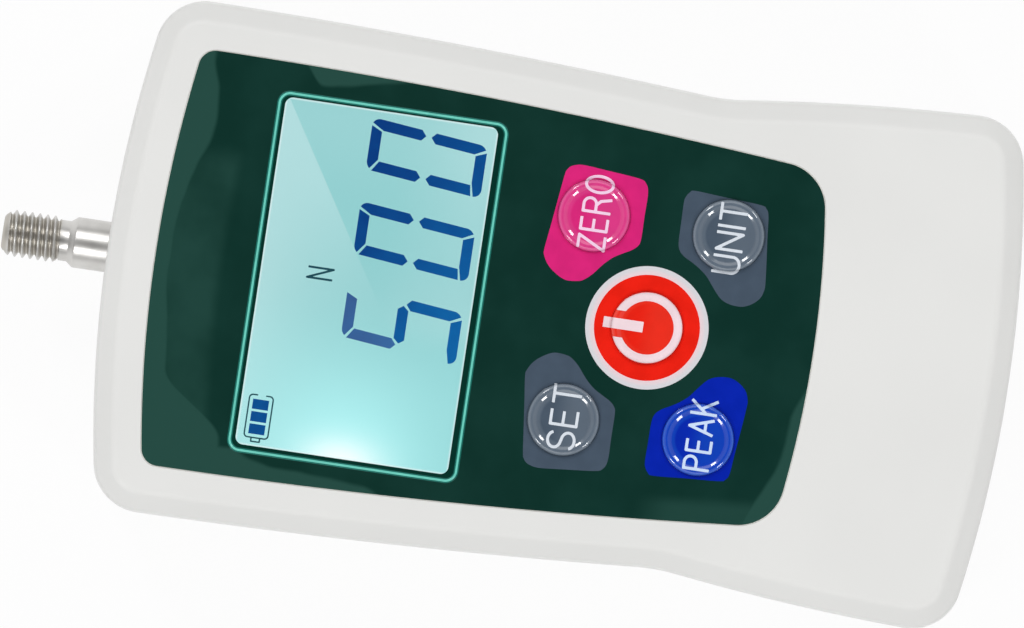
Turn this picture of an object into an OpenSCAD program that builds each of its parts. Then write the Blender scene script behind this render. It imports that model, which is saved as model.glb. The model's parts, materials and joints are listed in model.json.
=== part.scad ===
// Hand-held digital force gauge, lying on its back with the display face up.
// X runs across the display, Y along the measuring axis towards the stud, Z out of the display face.
// The origin is on the back face, under the middle of the whole length. All sizes are in millimetres.

/* [Housing] */
// Length of the moulded body along the measuring axis
body_l = 116.2; // [113:0.1:121]
// Width across the shoulders at the head end
head_w = 65.8; // [64.6:0.1:67.4]
// Width at the waist, below the keys
waist_w = 60.4; // [59.4:0.1:62]
// Width across the foot at the tail end
tail_w = 66; // [64.8:0.1:67.6]
// Distance from the head end to the shoulder
shoulder_y = 10.5; // [9.5:0.1:12]
// Radius of the soft hollow where the two sides meet at the waist
waist_r = 24; // [12:0.5:40]
// Distance from the head end to the waist
waist_y = 75.2; // [72:0.1:78]
// Distance from the tail end to the widest place of the foot
foot_y = 9.3; // [8.3:0.1:10.5]
// Thickness from the back to the display face
body_t = 36; // [35.6:0.1:40]
// Height of the parting line above the back
parting_z = 22; // [21.4:0.1:22.6]
// Radius of the head-end arc, seen from the front
head_r = 165; // [145:1:200]
// Radius of the tail-end arc, seen from the front
tail_r = 170; // [145:1:200]
// Radius of the long side between shoulder and waist
upper_side_r = 950; // [800:10:1100]
// Radius of the short side between waist and foot
lower_side_r = 312; // [280:1:360]
// Corner radius, seen from the front
corner_r = 6.4; // [5.8:0.1:7.4]
// Width of the bevel round the display face, seen from the front
bevel_w = 2.4; // [1.8:0.1:3.2]
// Depth of that bevel
bevel_d = 2.2; // [1.6:0.1:3]
// Softening of the bevel's two edges
bevel_soft = 0.5; // [0.3:0.05:0.6]
// Rounding between the sides and the back
back_edge_r = 3; // [2:0.1:3.4]
// Thickness of the moulded walls
wall = 2.5; // [2:0.1:2.8]
// How far each side leans in, from the parting line to its rounded edge
draft = 0.3; // [0.1:0.05:0.5]
// Chamfer on each shell at the parting line
parting_chamfer = 0.3; // [0.2:0.05:0.5]
// Bevel inside the shells, where the walls meet the face and the back
inner_bevel = 2; // [1.6:0.1:2.2]
// Distance from the outside to the tongue that lines up the two shells
tongue_inset = 1.4; // [1.2:0.1:1.5]
// Height of that tongue
tongue_h = 1; // [0.8:0.1:1.4]
// Gap round the tongue in its groove
tongue_gap = 0.1; // [0.05:0.05:0.2]
// Thickness of the face under the overlay
front_wall = 2; // [1.9:0.1:2.1]

/* [Overlay and window] */
// Distance from the head end to the overlay's head edge
film_head_y = 6.3; // [5.6:0.1:7]
// Length of the overlay film
film_l = 84.7; // [83:0.1:86]
// Width of the overlay film at its widest
film_w = 53.6; // [52.6:0.1:54.6]
// Thickness of the overlay film
film_t = 0.5; // [0.3:0.05:0.6]
// Depth of the recess that holds the film
film_recess = 0.7; // [0.65:0.05:0.9]
// Gap between the film and the edge of its recess
film_gap = 0.15; // [0.1:0.05:0.3]
// Radius of the film's head edge
film_head_r = 164; // [145:1:200]
// Radius of the film's tail edge
film_tail_r = 139; // [120:1:170]
// Radius of the film's long sides
film_side_r = 816; // [760:1:900]
// Distance from the film's head edge to its widest place
film_shoulder = 3; // [2:0.1:6]
// Corner radius at the film's head end
film_head_corner = 3; // [2:0.1:4]
// Corner radius at the film's tail end
film_tail_corner = 7; // [6:0.1:8]
// Width of the clear display window
window_w = 44.8; // [43:0.1:45.4]
// Height of the clear display window
window_h = 27.4; // [26:0.1:28]
// Distance from the head end to the middle of the window
window_y = 33.5; // [33:0.1:34]
// Corner radius of the window
window_corner = 1; // [0.6:0.1:1.4]
// How far the window plate reaches under the film on each side
lens_lap = 1.1; // [0.8:0.1:1.3]
// Thickness of the window plate
lens_t = 1.5; // [1.2:0.1:1.6]
// Fitting gap round the window plate
lens_gap = 0.1; // [0.05:0.05:0.2]
// How much larger the opening behind the window plate is than the window, on each side
window_reveal = 0.3; // [0.2:0.05:0.5]

/* [Keys] */
// Distance between the left and right keys
key_pitch_x = 26.2; // [25:0.1:27.4]
// Distance from the head end to the first row of keys
key_row_1 = 60.9; // [60.3:0.1:61.4]
// Distance from the head end to the second row of keys
key_row_2 = 78.2; // [77.4:0.1:79]
// Diameter of a dome key
key_d = 9.2; // [8.6:0.1:9.6]
// Height of a dome's raised rim above the film
key_dome_h = 0.8; // [0.6:0.05:1]
// Width of that rim
key_rim_w = 1.3; // [1:0.1:1.6]
// Height of a dome's middle above the film
key_crown_h = 0.6; // [0.5:0.05:0.8]
// Gap between a dome and the film round it
key_gap = 0.15; // [0.1:0.05:0.2]
// Travel of a key
key_travel = 0.4; // [0.3:0.05:0.45]
// Diameter of the stem under a key
key_stem_d = 5; // [4.6:0.1:5.4]
// Running clearance round a stem
stem_gap = 0.06; // [0.04:0.01:0.09]
// How far a key's rim reaches below the film
key_rim_drop = 0.3; // [0.2:0.05:0.35]
// Gap left under a key and its plunger when it is pressed
press_gap = 0.1; // [0.08:0.01:0.15]
// Depth of a plunger inside its switch at rest
plunger_foot = 0.7; // [0.5:0.05:0.9]

/* [Measuring rod] */
// Height of the rod's axis above the back
rod_z = 16.5; // [16.3:0.1:16.9]
// Diameter of the plain shank
shank_d = 6.5; // [6.3:0.1:7]
// Length of shank outside the housing
shank_out = 4.3; // [3:0.1:6]
// Length of the cone between shank and neck
shank_cone = 0.8; // [0.6:0.1:1]
// Diameter of the neck behind the thread
neck_d = 5.2; // [4.8:0.1:5.6]
// Length of the neck
neck_l = 1.2; // [0.8:0.1:2]
// Outside diameter of the measuring thread
thread_d = 6; // [5.6:0.1:6.2]
// Length of the measuring thread
thread_l = 7.3; // [6:0.1:10]
// Chamfer at the tip of the stud
tip_chamfer = 0.9; // [0.5:0.1:1.2]
// Diameter of the collar that meets the load cell
collar_d = 10; // [9:0.1:11]
// Length of that collar
collar_l = 2; // [1.5:0.1:2.6]
// Length of the rod's end inside the load cell
spigot_l = 7.5; // [6:0.1:7.8]
// Gap between the shank and the housing
rod_gap = 0.35; // [0.3:0.05:0.5]
// Gap between the rod and the load cell
spigot_gap = 0.06; // [0.04:0.01:0.09]
// Gap between the rod's collar and the load cell's face
collar_gap = 0.1; // [0.08:0.01:0.2]
// Space left past the rod's end in the load cell
spigot_rest = 0.3; // [0.2:0.05:0.5]

/* [Load cell] */
// Width of the load cell block
cell_w = 32; // [30:0.1:33]
// Length of the load cell along the measuring axis
cell_l = 36; // [35.4:0.1:36.6]
// Thickness of the load cell
cell_t = 14; // [13.4:0.1:14.4]
// Height of the two arms, above and below the bending bar
cell_arm = 9; // [8.6:0.1:9.3]
// Height of the two slots that make the S
cell_slot = 2; // [1.6:0.1:2.2]
// Width of solid metal left at the closed end of each slot
cell_web = 6; // [5:0.1:7]
// Diameter of the two holes in the bending bar
cell_hole_d = 10; // [9:0.1:10.6]
// Distance between the two holes in the bending bar
cell_hole_pitch = 11; // [10:0.1:12]
// Height of the slot that joins the two holes
cell_link = 4; // [3:0.1:5]
// Distance between the load cell screws
cell_screw_pitch = 18; // [16:0.1:20]
// Distance from the head end to the load cell
cell_y = 11.3; // [11:0.1:11.6]
// Length of a strain gauge
gauge_l = 8; // [6:0.1:10]
// Width of a strain gauge
gauge_w = 4; // [3:0.1:5]
// Thickness of a strain gauge
gauge_t = 0.2; // [0.1:0.05:0.3]

/* [Chassis and stand] */
// Width of the chassis plate
chassis_w = 39; // [38:0.1:40]
// Thickness of the chassis plate
chassis_t = 4; // [3.8:0.1:4.1]
// Thread of the stand holes, outside diameter
stand_d = 4; // [3:0.5:5]
// Clearance hole in the rear shell at each stand hole
stand_clear_d = 4.8; // [4.6:0.1:5.6]
// Distance between stand holes across the body
stand_pitch_x = 30; // [29:0.1:30.4]
// Distance between stand holes along the body
stand_pitch_y = 44; // [43.6:0.1:44.4]
// Distance from the head end to the middle of the stand holes
stand_y = 30.3; // [30:0.1:30.6]
// Solid plate round the stand holes at each end
chassis_margin = 1.8; // [1.6:0.1:2]
// Height of the bosses under the chassis plate
chassis_boss_h = 2; // [1.8:0.1:2.2]
// Distance between the two screws at each end of the plate
chassis_screw_pitch = 15; // [14:0.1:16]
// Plastic left under the chassis screws
chassis_screw_floor = 1.2; // [1:0.1:1.4]
// Wall of the sleeves and bosses under the chassis plate
boss_wall = 2; // [1.6:0.1:2.2]

/* [Circuit board and display] */
// Thickness of the circuit board
pcb_t = 1.6; // [1.4:0.1:1.7]
// Gap between the circuit board and the side walls at the waist
pcb_side_gap = 1.2; // [0.8:0.1:1.6]
// Gap between the circuit board's ends and the walls there
pcb_end_gap = 0.9; // [0.7:0.1:1.4]
// Gap between the display frame and the circuit board's posts
pcb_post_gap = 0.8; // [0.6:0.1:1]
// Distance from the edge of the circuit board to its posts
pcb_post_edge = 0.8; // [0.6:0.1:1.2]
// Width of the circuit board's tabs between the screw bosses
pcb_tab_w = 36; // [34:0.1:38]
// Width of the display glass
lcd_w = 49; // [48.6:0.1:49.4]
// Height of the display glass
lcd_h = 33; // [32:0.1:33.4]
// Thickness of the display glass
lcd_t = 2.2; // [2:0.1:2.4]
// Width of the contact ledge at each long edge of the glass
lcd_ledge = 1.6; // [1:0.1:2]
// Gap between the display glass and the front wall
lcd_gap = 0.3; // [0.2:0.05:0.5]
// Thickness of the backlight
backlight_t = 3; // [2.8:0.1:3.2]
// Width of each elastomer strip
zebra_w = 2; // [1.6:0.1:2.2]
// How much shorter each elastomer strip is than the glass, at each end
zebra_inset = 2; // [1:0.1:3]
// Wall of the display frame
lcd_frame_wall = 1.4; // [1:0.1:1.5]
// Fitting gap inside the display frame
lcd_fit = 0.1; // [0.05:0.05:0.2]
// Side of a tact switch
switch_w = 6; // [5.6:0.1:6.2]
// Height of a tact switch body
switch_h = 3.5; // [3.2:0.1:3.6]
// Height of a switch plunger above the board
plunger_h = 4.5; // [4.3:0.1:4.8]
// Diameter of a switch plunger
plunger_d = 3.5; // [3:0.1:3.8]
// Side of the processor chip
mcu_w = 10; // [8:0.1:11]
// Length of the smaller chips
chip_l = 7; // [5:0.1:8]
// Width of the smaller chips
chip_w = 5; // [4:0.1:6]
// Height of the chips
chip_h = 1.4; // [1:0.1:1.6]
// Diameter of the buzzer
buzzer_d = 9.6; // [9:0.1:10]
// Height of the buzzer
buzzer_h = 4; // [3:0.1:4.2]
// Width of the charging socket
socket_w = 7.7; // [7.4:0.1:8]
// Height of the charging socket
socket_h = 3.8; // [3.6:0.1:3.9]
// Depth of the charging socket
socket_l = 7; // [6.5:0.1:7.5]
// Wall of the charging socket
socket_wall = 0.45; // [0.35:0.05:0.6]
// How far the socket's mouth lies inside the tail end
socket_mouth = 0.9; // [0.7:0.1:1.2]
// Thickness of the contact tongue in the socket
tongue_t = 0.8; // [0.6:0.1:1]
// Gap between the charging socket and the shell round it
socket_gap = 0.3; // [0.25:0.05:0.5]

/* [Wiring] */
// Diameter of a lead
lead_d = 1.1; // [0.9:0.1:1.2]
// Distance between neighbouring leads
lead_pitch = 1.5; // [1.4:0.1:1.6]
// Bend radius of a lead, at its middle
lead_bend = 2.5; // [2:0.1:3]
// Straight length of a lead before its bend
lead_start = 0.6; // [0.4:0.1:0.8]
// Number of leads from the strain gauges
sensor_lead_count = 4; // [4:1:6]
// Number of leads from the battery
battery_lead_count = 2; // [2:1:3]
// Distance from the battery tray's head end to the middle of its leads
battery_lead_in = 12; // [10:0.1:14]
// Length of a lead plug across the body
plug_w = 4.4; // [4:0.1:5]
// Height of a lead plug
plug_h = 4.6; // [4:0.1:4.8]
// Plastic past the outer leads of a plug
plug_edge = 0.8; // [0.6:0.1:1]

/* [Battery] */
// Diameter of a battery cell
battery_d = 14; // [13.6:0.1:14.2]
// Length of a battery cell
battery_l = 50; // [49:0.1:50.4]
// Distance between the two cells
battery_pitch = 15.2; // [14.8:0.1:16]
// Gap between a cell and its tray
battery_gap = 0.15; // [0.1:0.05:0.3]
// Wall of the battery tray
tray_wall = 1.4; // [1.2:0.1:1.6]
// Floor of the battery tray
tray_floor = 1.2; // [1:0.1:1.4]
// Height of the battery tray
tray_h = 8; // [6:0.1:10]
// Gap between the battery tray and the chassis plate
tray_gap = 0.3; // [0.2:0.1:0.5]
// Thickness of a battery contact
contact_t = 0.4; // [0.3:0.05:0.5]
// Side of a battery contact
contact_w = 7; // [6:0.1:8]
// Slack between a cell and each contact
contact_slack = 0.1; // [0.05:0.05:0.2]
// Diameter of a cell's raised end
battery_tip_d = 5; // [4:0.1:6]
// Height of a cell's raised end
battery_tip_l = 1; // [0.6:0.1:1.4]

/* [Fasteners] */
// Diameter of the case, chassis and board screw shanks
screw_d = 3; // [2.6:0.1:3.2]
// Diameter of their heads
screw_head_d = 5.5; // [5.2:0.1:5.8]
// Height of their heads
screw_head_h = 2; // [1.6:0.1:2.2]
// Diameter of the load cell screw shanks
cell_screw_d = 4; // [3.6:0.1:4.2]
// Diameter of the load cell screw heads
cell_head_d = 7; // [6.6:0.1:7.4]
// Height of the load cell screw heads
cell_head_h = 2; // [1.8:0.1:2.2]
// Gap round a screw in its hole
screw_gap = 0.05; // [0.03:0.01:0.1]
// Gap round a screw head in its recess
head_gap = 0.3; // [0.2:0.05:0.4]
// Space left past the tip of a screw
screw_rest = 0.4; // [0.2:0.05:0.6]
// Diameter of the case screw posts
case_boss_d = 8; // [7.6:0.1:8.2]
// Gap between a case screw post and the side wall
case_boss_gap = 0.9; // [0.7:0.1:1.2]
// Depth of the hole that hides a case screw head
case_head_depth = 10; // [8:0.1:12]
// Distance from each end of the body to its case screws
case_screw_inset = 9.8; // [9.6:0.1:10]
// Thread length of a case screw in the front shell
case_screw_bite = 7; // [5:0.1:8]
// Thread length of a board screw in its post
pcb_screw_bite = 4; // [3:0.1:4.4]
// Thread length of a load cell screw
cell_screw_bite = 8; // [6:0.1:10]
// Diameter of the posts that carry the circuit board
pcb_post_d = 5.4; // [5:0.1:5.8]

/* [Hidden] */

// Round features are true circles; this is only how finely a preview shows them
$fn = 48;
// How far a cut runs past the face that it opens
past = 1;

// Places along the measuring axis
stud_out = shank_out + shank_cone + neck_l + thread_l;
total_l = body_l + stud_out;
tail_y = -total_l / 2;
head_y = tail_y + body_l;
function from_head(distance) = head_y - distance;

// Heights of the display stack, from the face down
film_seat_z = body_t - film_recess;
film_top_z = film_seat_z + film_t;
panel_z = film_seat_z - front_wall;
lcd_top_z = panel_z - lcd_gap;
pcb_top_z = lcd_top_z - lcd_t - backlight_t;
pcb_bottom_z = pcb_top_z - pcb_t;
switch_top_z = pcb_top_z + switch_h;
plunger_top_z = pcb_top_z + plunger_h;
plunger_foot_z = switch_top_z - plunger_foot;
key_bottom_z = film_seat_z - key_rim_drop;
key_pocket_z = key_bottom_z - key_travel - press_gap;

// Heights of the load train, from the back up
chassis_z = wall + chassis_boss_h;
chassis_top_z = chassis_z + chassis_t;
cell_bottom_z = rod_z - cell_t / 2;
cell_head_z = chassis_z + cell_head_h + head_gap;

// How far the seat of the window plate reaches past the window
lens_seat = lens_lap + lens_gap;

// Outline arcs of the housing: the big arcs, then the corners that are tangent to two of them
waist_point = [waist_w / 2, from_head(waist_y)];
head_c = [0, head_y - head_r];
tail_c = [0, tail_y + tail_r];
upper_c = arc_centre(waist_point, [head_w / 2, from_head(shoulder_y)], upper_side_r);
lower_c = arc_centre([tail_w / 2, tail_y + foot_y], waist_point, lower_side_r);
waist_c = meet(lower_c, lower_side_r + waist_r, upper_c, upper_side_r + waist_r);
head_corner_c = meet(upper_c, upper_side_r - corner_r, head_c, head_r - corner_r);
tail_corner_c = meet(lower_c, lower_side_r - corner_r, tail_c, tail_r - corner_r);

// Outline arcs of the overlay film
film_top_y = from_head(film_head_y);
film_head_c = [0, film_top_y - film_head_r];
film_tail_c = [0, film_top_y - film_l + film_tail_r];
film_side_c = [film_w / 2 - film_side_r, film_top_y - film_shoulder];
film_head_corner_c = meet(film_side_c, film_side_r - film_head_corner,
                          film_head_c, film_head_r - film_head_corner);
film_tail_corner_c = meet(film_side_c, film_side_r - film_tail_corner,
                          film_tail_c, film_tail_r - film_tail_corner);

// Case screws stand just inside the four corners
case_boss_r = case_boss_d / 2;
case_screw_x = min(head_w, tail_w) / 2 - wall - case_boss_gap - case_boss_r;
case_screw_ys = [tail_y + case_screw_inset, head_y - case_screw_inset];

// The circuit board fills the front shell between the case screw posts
pcb_w = waist_w - 2 * (wall + pcb_side_gap);
pcb_wide_top = case_screw_ys[1] - case_boss_r - pcb_end_gap;
pcb_wide_bottom = case_screw_ys[0] + case_boss_r + pcb_end_gap;
pcb_tail_y = tail_y + wall + pcb_end_gap + draft;
pcb_post_r = pcb_post_d / 2;
pcb_post_in = pcb_post_r + pcb_post_edge;
lcd_frame_top_y = from_head(window_y) + lcd_h / 2 + lcd_fit + lcd_frame_wall;
pcb_head_y = lcd_frame_top_y + pcb_post_gap + pcb_post_d + pcb_post_edge;
pcb_posts = [
    for (side = [-1, 1]) [side * (pcb_tab_w / 2 - pcb_post_in), pcb_head_y - pcb_post_in],
    for (side = [-1, 1]) [side * (pcb_w / 2 - pcb_post_in), pcb_wide_bottom + pcb_post_in]
];

// Where the keys are, seen from the front with the stud up
key_zero_at = [key_pitch_x / 2, from_head(key_row_1)];
key_set_at = [-key_pitch_x / 2, from_head(key_row_1)];
key_unit_at = [key_pitch_x / 2, from_head(key_row_2)];
key_peak_at = [-key_pitch_x / 2, from_head(key_row_2)];
key_power_at = [0, from_head((key_row_1 + key_row_2) / 2)];
keys_at = [key_zero_at, key_set_at, key_unit_at, key_peak_at, key_power_at];

// The load cell, with its fixed arm at the tail side and its moving arm at the head side
cell_top_y = from_head(cell_y);
cell_base_y = cell_top_y - cell_l;
bar_low_y = cell_base_y + cell_arm + cell_slot;
bar_high_y = cell_top_y - cell_arm - cell_slot;
bar_mid_y = (bar_low_y + bar_high_y) / 2;
cell_screw_y = cell_base_y + cell_arm / 2;

// The chassis plate reaches just past the stand holes at both ends
stand_mid_y = from_head(stand_y);
stand_ys = [stand_mid_y - stand_pitch_y / 2, stand_mid_y + stand_pitch_y / 2];
chassis_low_y = stand_ys[0] - stand_d / 2 - chassis_margin;
chassis_high_y = stand_ys[1] + stand_d / 2 + chassis_margin;

// The battery tray lies between the chassis plate and the tail wall
tray_pocket_l = battery_l + 2 * (contact_t + contact_slack);
tray_high_y = chassis_low_y - tray_gap;
tray_low_y = tray_high_y - tray_pocket_l - 2 * tray_wall;
battery_mid_y = (tray_high_y + tray_low_y) / 2;
battery_z = wall + tray_floor + battery_gap + battery_d / 2;
tray_w = battery_pitch + battery_d + 2 * (battery_gap + tray_wall);

// The leads rise to their plugs beside the load cell's fixed arm and beside the battery tray
sensor_lead_x = cell_w / 2;
sensor_lead_y = cell_base_y + cell_arm / 2;
sensor_lead_z = rod_z;
battery_lead_x = tray_w / 2;
battery_lead_y = tray_high_y - battery_lead_in;
battery_lead_z = wall + tray_h / 2;
plug_z = pcb_bottom_z - plug_h;

// Centre of the arc of radius r that runs from p up to q with its centre on the inner side
function arc_centre(p, q, r) =
    let (mid = (p + q) / 2, chord = norm(q - p), along = (q - p) / chord)
    mid + sqrt(r * r - chord * chord / 4) * [-along.y, along.x];

// The right-hand crossing of two circles
function meet(c1, r1, c2, r2) =
    let (
        gap = norm(c2 - c1),
        along = (c2 - c1) / gap,
        reach = (r1 * r1 - r2 * r2 + gap * gap) / (2 * gap),
        rise = sqrt(r1 * r1 - reach * reach),
        foot = c1 + reach * along,
        side = [-along.y, along.x],
        a = foot + rise * side,
        b = foot - rise * side
    )
    a.x > b.x ? a : b;

// Direction from one point to another, in degrees
function heading(from, to) = atan2(to.y - from.y, to.x - from.x);

// Points along an arc, without its last one
function arc(c, r, a0, a1, steps) =
    [for (i = [0 : steps - 1]) let (a = a0 + (a1 - a0) * i / steps) c + r * [cos(a), sin(a)]];

// A closed outline from its right half, which starts and ends on the middle line
function both_sides(half) =
    concat(half, [for (i = [len(half) - 2 : -1 : 1]) [-half[i].x, half[i].y]]);

// The housing's outline, drawn in by the given inset: every arc keeps its centre
function body_outline(inset) =
    let (
        tail_turn = heading(tail_c, tail_corner_c),
        foot_turn = heading(lower_c, tail_corner_c),
        low_waist_turn = heading(lower_c, waist_c),
        high_waist_turn = heading(upper_c, waist_c),
        shoulder_turn = heading(upper_c, head_corner_c),
        head_turn = heading(head_c, head_corner_c)
    )
    both_sides(concat(
        arc(tail_c, tail_r - inset, -90, tail_turn, 6),
        arc(tail_corner_c, corner_r - inset, tail_turn, foot_turn, 6),
        arc(lower_c, lower_side_r - inset, foot_turn, low_waist_turn, 4),
        arc(waist_c, waist_r + inset, 180 + low_waist_turn, 180 + high_waist_turn, 3),
        arc(upper_c, upper_side_r - inset, high_waist_turn, shoulder_turn, 5),
        arc(head_corner_c, corner_r - inset, shoulder_turn, head_turn, 6),
        arc(head_c, head_r - inset, head_turn, 90, 6),
        [[0, head_y - inset]]
    ));

// The film's outline, let out by the given margin
function film_outline(margin) =
    let (
        tail_turn = heading(film_tail_c, film_tail_corner_c),
        low_turn = heading(film_side_c, film_tail_corner_c),
        high_turn = heading(film_side_c, film_head_corner_c),
        head_turn = heading(film_head_c, film_head_corner_c)
    )
    both_sides(concat(
        arc(film_tail_c, film_tail_r + margin, -90, tail_turn, 6),
        arc(film_tail_corner_c, film_tail_corner + margin, tail_turn, low_turn, 6),
        arc(film_side_c, film_side_r + margin, low_turn, high_turn, 6),
        arc(film_head_corner_c, film_head_corner + margin, high_turn, head_turn, 5),
        arc(film_head_c, film_head_r + margin, head_turn, 90, 6),
        [[0, film_top_y + margin]]
    ));

// A quarter round from the flat back up to an upright side, as [inset, height] steps
function back_round(inset, r, steps) =
    [for (i = [0 : steps]) let (a = 90 * i / steps) [inset + r * (1 - sin(a)), r * (1 - cos(a))]];

// The bevel from an upright side to the display face, with both its edges softened
function face_bevel(inset) =
    let (
        run = norm([bevel_w, bevel_d]),
        ease = bevel_soft * [bevel_w, bevel_d] / run,
        low = [inset, body_t - bevel_d],
        high = [inset + bevel_w, body_t]
    )
    [low - [0, bevel_soft], low + ease, high - ease, high + [bevel_soft, 0]];

// Skin through copies of the housing's outline, given as [inset, height] from the bottom up
module loft(sections) {
    rings = [for (s = sections) body_outline(s[0])];
    count = len(rings[0]);
    last = len(sections) - 1;
    points = [for (k = [0 : last]) for (p = rings[k]) [p.x, p.y, sections[k][1]]];
    sides = [
        for (k = [0 : last - 1]) for (i = [0 : count - 1])
            let (a = k * count + i, b = k * count + (i + 1) % count, c = b + count, d = a + count)
            for (face = [[a, d, c], [a, c, b]]) face
    ];
    bottom = [for (i = [0 : count - 1]) i];
    top = [for (i = [count - 1 : -1 : 0]) last * count + i];
    polyhedron(points, concat([bottom], sides, [top]), convexity = 6);
}

// A rectangle with round corners, centred
module rounded_rect(w, h, r) {
    square([w - 2 * r, h], center = true);
    square([w, h - 2 * r], center = true);
    for (x = [-1, 1], y = [-1, 1]) translate([x * (w / 2 - r), y * (h / 2 - r)]) circle(r);
}

// A plate with the given corners in plan, from one height to another
module plate(x0, x1, y0, y1, z0, z1) {
    translate([x0, y0, z0]) cube([x1 - x0, y1 - y0, z1 - z0]);
}

// A round post or hole, upright
module post(at, d, z0, z1) {
    translate([at.x, at.y, z0]) cylinder(d = d, h = z1 - z0);
}

// A round bar or hole along the measuring axis
module bar(x, z, d, y0, y1) {
    translate([x, y0, z]) rotate([-90, 0, 0]) cylinder(d = d, h = y1 - y0);
}

// A socket-head screw that points up, with the underside of its head at the origin
module screw(d, l, head_d, head_h) {
    socket_across = head_d * 0.5;
    socket_depth = head_h * 0.55;
    cylinder(d = d, h = l);
    difference() {
        translate([0, 0, -head_h]) cylinder(d = head_d, h = head_h);
        translate([0, 0, -head_h - past]) cylinder(d = socket_across, h = socket_depth + past, $fn = 6);
    }
}

// Copies its child at the four corners of a rectangle in plan
module at_corners(xs, ys) {
    for (x = xs, y = ys) translate([x, y, 0]) children();
}

// The slot that the charging socket looks out of, from the given height up
module socket_slot(low_z) {
    side = socket_w / 2 + socket_gap;
    plate(-side, side, tail_y - past, tail_y + wall + draft + past, low_z, pcb_bottom_z + socket_gap);
}

// A band inside the parting line, from one inset to another
module parting_band(outer, inner, z0, z1) {
    difference() {
        loft([[outer, z0], [outer, z1]]);
        loft([[inner, z0 - past], [inner, z1 + past]]);
    }
}

module front_shell() {
    inner = wall + draft;
    color("white")
    difference() {
        union() {
            difference() {
                loft(concat(
                    [[parting_chamfer, parting_z], [0, parting_z + parting_chamfer]],
                    face_bevel(draft)
                ));
                loft([
                    [wall, parting_z - past], [inner, panel_z - inner_bevel], [inner + inner_bevel, panel_z]
                ]);
                loft([
                    [tongue_inset - tongue_gap, parting_z - past],
                    [tongue_inset - tongue_gap, parting_z + tongue_h + tongue_gap]
                ]);
            }
            at_corners([-case_screw_x, case_screw_x], case_screw_ys)
                post([0, 0], case_boss_d, parting_z, panel_z + past / 2);
            for (p = pcb_posts) post(p, pcb_post_d, pcb_top_z, panel_z + past / 2);
        }
        translate([0, 0, film_seat_z]) linear_extrude(film_recess + past) polygon(film_outline(film_gap));
        translate([0, from_head(window_y), film_seat_z - lens_t])
            linear_extrude(lens_t + past)
                rounded_rect(window_w + 2 * lens_seat, window_h + 2 * lens_seat, window_corner + lens_seat);
        translate([0, from_head(window_y), panel_z - past])
            linear_extrude(front_wall + 2 * past)
                rounded_rect(window_w + 2 * window_reveal, window_h + 2 * window_reveal,
                             window_corner + window_reveal);
        for (k = keys_at) {
            post(k, key_d + 2 * key_gap, key_pocket_z, body_t);
            post(k, key_stem_d + 2 * stem_gap, panel_z - past, body_t);
        }
        at_corners([-case_screw_x, case_screw_x], case_screw_ys)
            post([0, 0], screw_d + 2 * screw_gap, parting_z - past,
                 parting_z + case_screw_bite + screw_rest);
        for (p = pcb_posts)
            post(p, screw_d + 2 * screw_gap, pcb_top_z - past, pcb_top_z + pcb_screw_bite + screw_rest);
        socket_slot(parting_z - past);
    }
}

module rear_shell() {
    inner = wall + draft;
    color("white")
    difference() {
        union() {
            difference() {
                loft(concat(
                    back_round(draft, back_edge_r, 5),
                    [[0, parting_z - parting_chamfer], [parting_chamfer, parting_z]]
                ));
                loft([
                    [inner + inner_bevel, wall], [inner, wall + inner_bevel], [wall, parting_z + past]
                ]);
            }
            parting_band(tongue_inset, wall, parting_z - tongue_h, parting_z + tongue_h);
            at_corners([-case_screw_x, case_screw_x], case_screw_ys)
                post([0, 0], case_boss_d, wall - past / 2, parting_z);
            at_corners([-stand_pitch_x / 2, stand_pitch_x / 2], stand_ys)
                post([0, 0], stand_clear_d + 2 * boss_wall, wall - past / 2, chassis_z);
            at_corners([-chassis_screw_pitch / 2, chassis_screw_pitch / 2], stand_ys)
                post([0, 0], screw_d + 2 * boss_wall, wall - past / 2, chassis_z);
        }
        at_corners([-case_screw_x, case_screw_x], case_screw_ys) {
            post([0, 0], screw_head_d + 2 * head_gap, -past, case_head_depth);
            post([0, 0], screw_d + 2 * head_gap, -past, parting_z + past);
        }
        at_corners([-stand_pitch_x / 2, stand_pitch_x / 2], stand_ys)
            post([0, 0], stand_clear_d, -past, chassis_z + past);
        at_corners([-chassis_screw_pitch / 2, chassis_screw_pitch / 2], stand_ys)
            post([0, 0], screw_d + 2 * screw_gap, chassis_screw_floor, chassis_z + past);
        bar(0, rod_z, shank_d + 2 * rod_gap, head_y - 3 * wall, head_y + past);
        socket_slot(pcb_bottom_z - socket_h - socket_gap);
    }
}

module case_screws() {
    color("dimgray")
    at_corners([-case_screw_x, case_screw_x], case_screw_ys)
        translate([0, 0, case_head_depth])
            screw(screw_d, parting_z - case_head_depth + case_screw_bite, screw_head_d, screw_head_h);
}

module keypad_overlay() {
    color("darkslategray")
    difference() {
        translate([0, 0, film_seat_z]) linear_extrude(film_t) polygon(film_outline(0));
        translate([0, from_head(window_y), film_seat_z - past])
            linear_extrude(film_t + 2 * past) rounded_rect(window_w, window_h, window_corner);
        for (k = keys_at) post(k, key_d + 2 * key_gap, film_seat_z - past, film_top_z + past);
    }
}

module window_lens() {
    color("paleturquoise", 0.5)
    translate([0, from_head(window_y), film_seat_z - lens_t])
        linear_extrude(lens_t)
            rounded_rect(window_w + 2 * lens_lap, window_h + 2 * lens_lap, window_corner + lens_lap);
}

// Two glass plates: the lower one is longer and carries the contacts on its ledges
module lcd_panel() {
    half_t = lcd_t / 2;
    color("lightcyan")
    translate([0, from_head(window_y), lcd_top_z - half_t]) {
        translate([0, 0, -half_t / 2]) cube([lcd_w, lcd_h, half_t], center = true);
        translate([0, 0, half_t / 2]) cube([lcd_w, lcd_h - 2 * lcd_ledge, half_t], center = true);
    }
}

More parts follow.
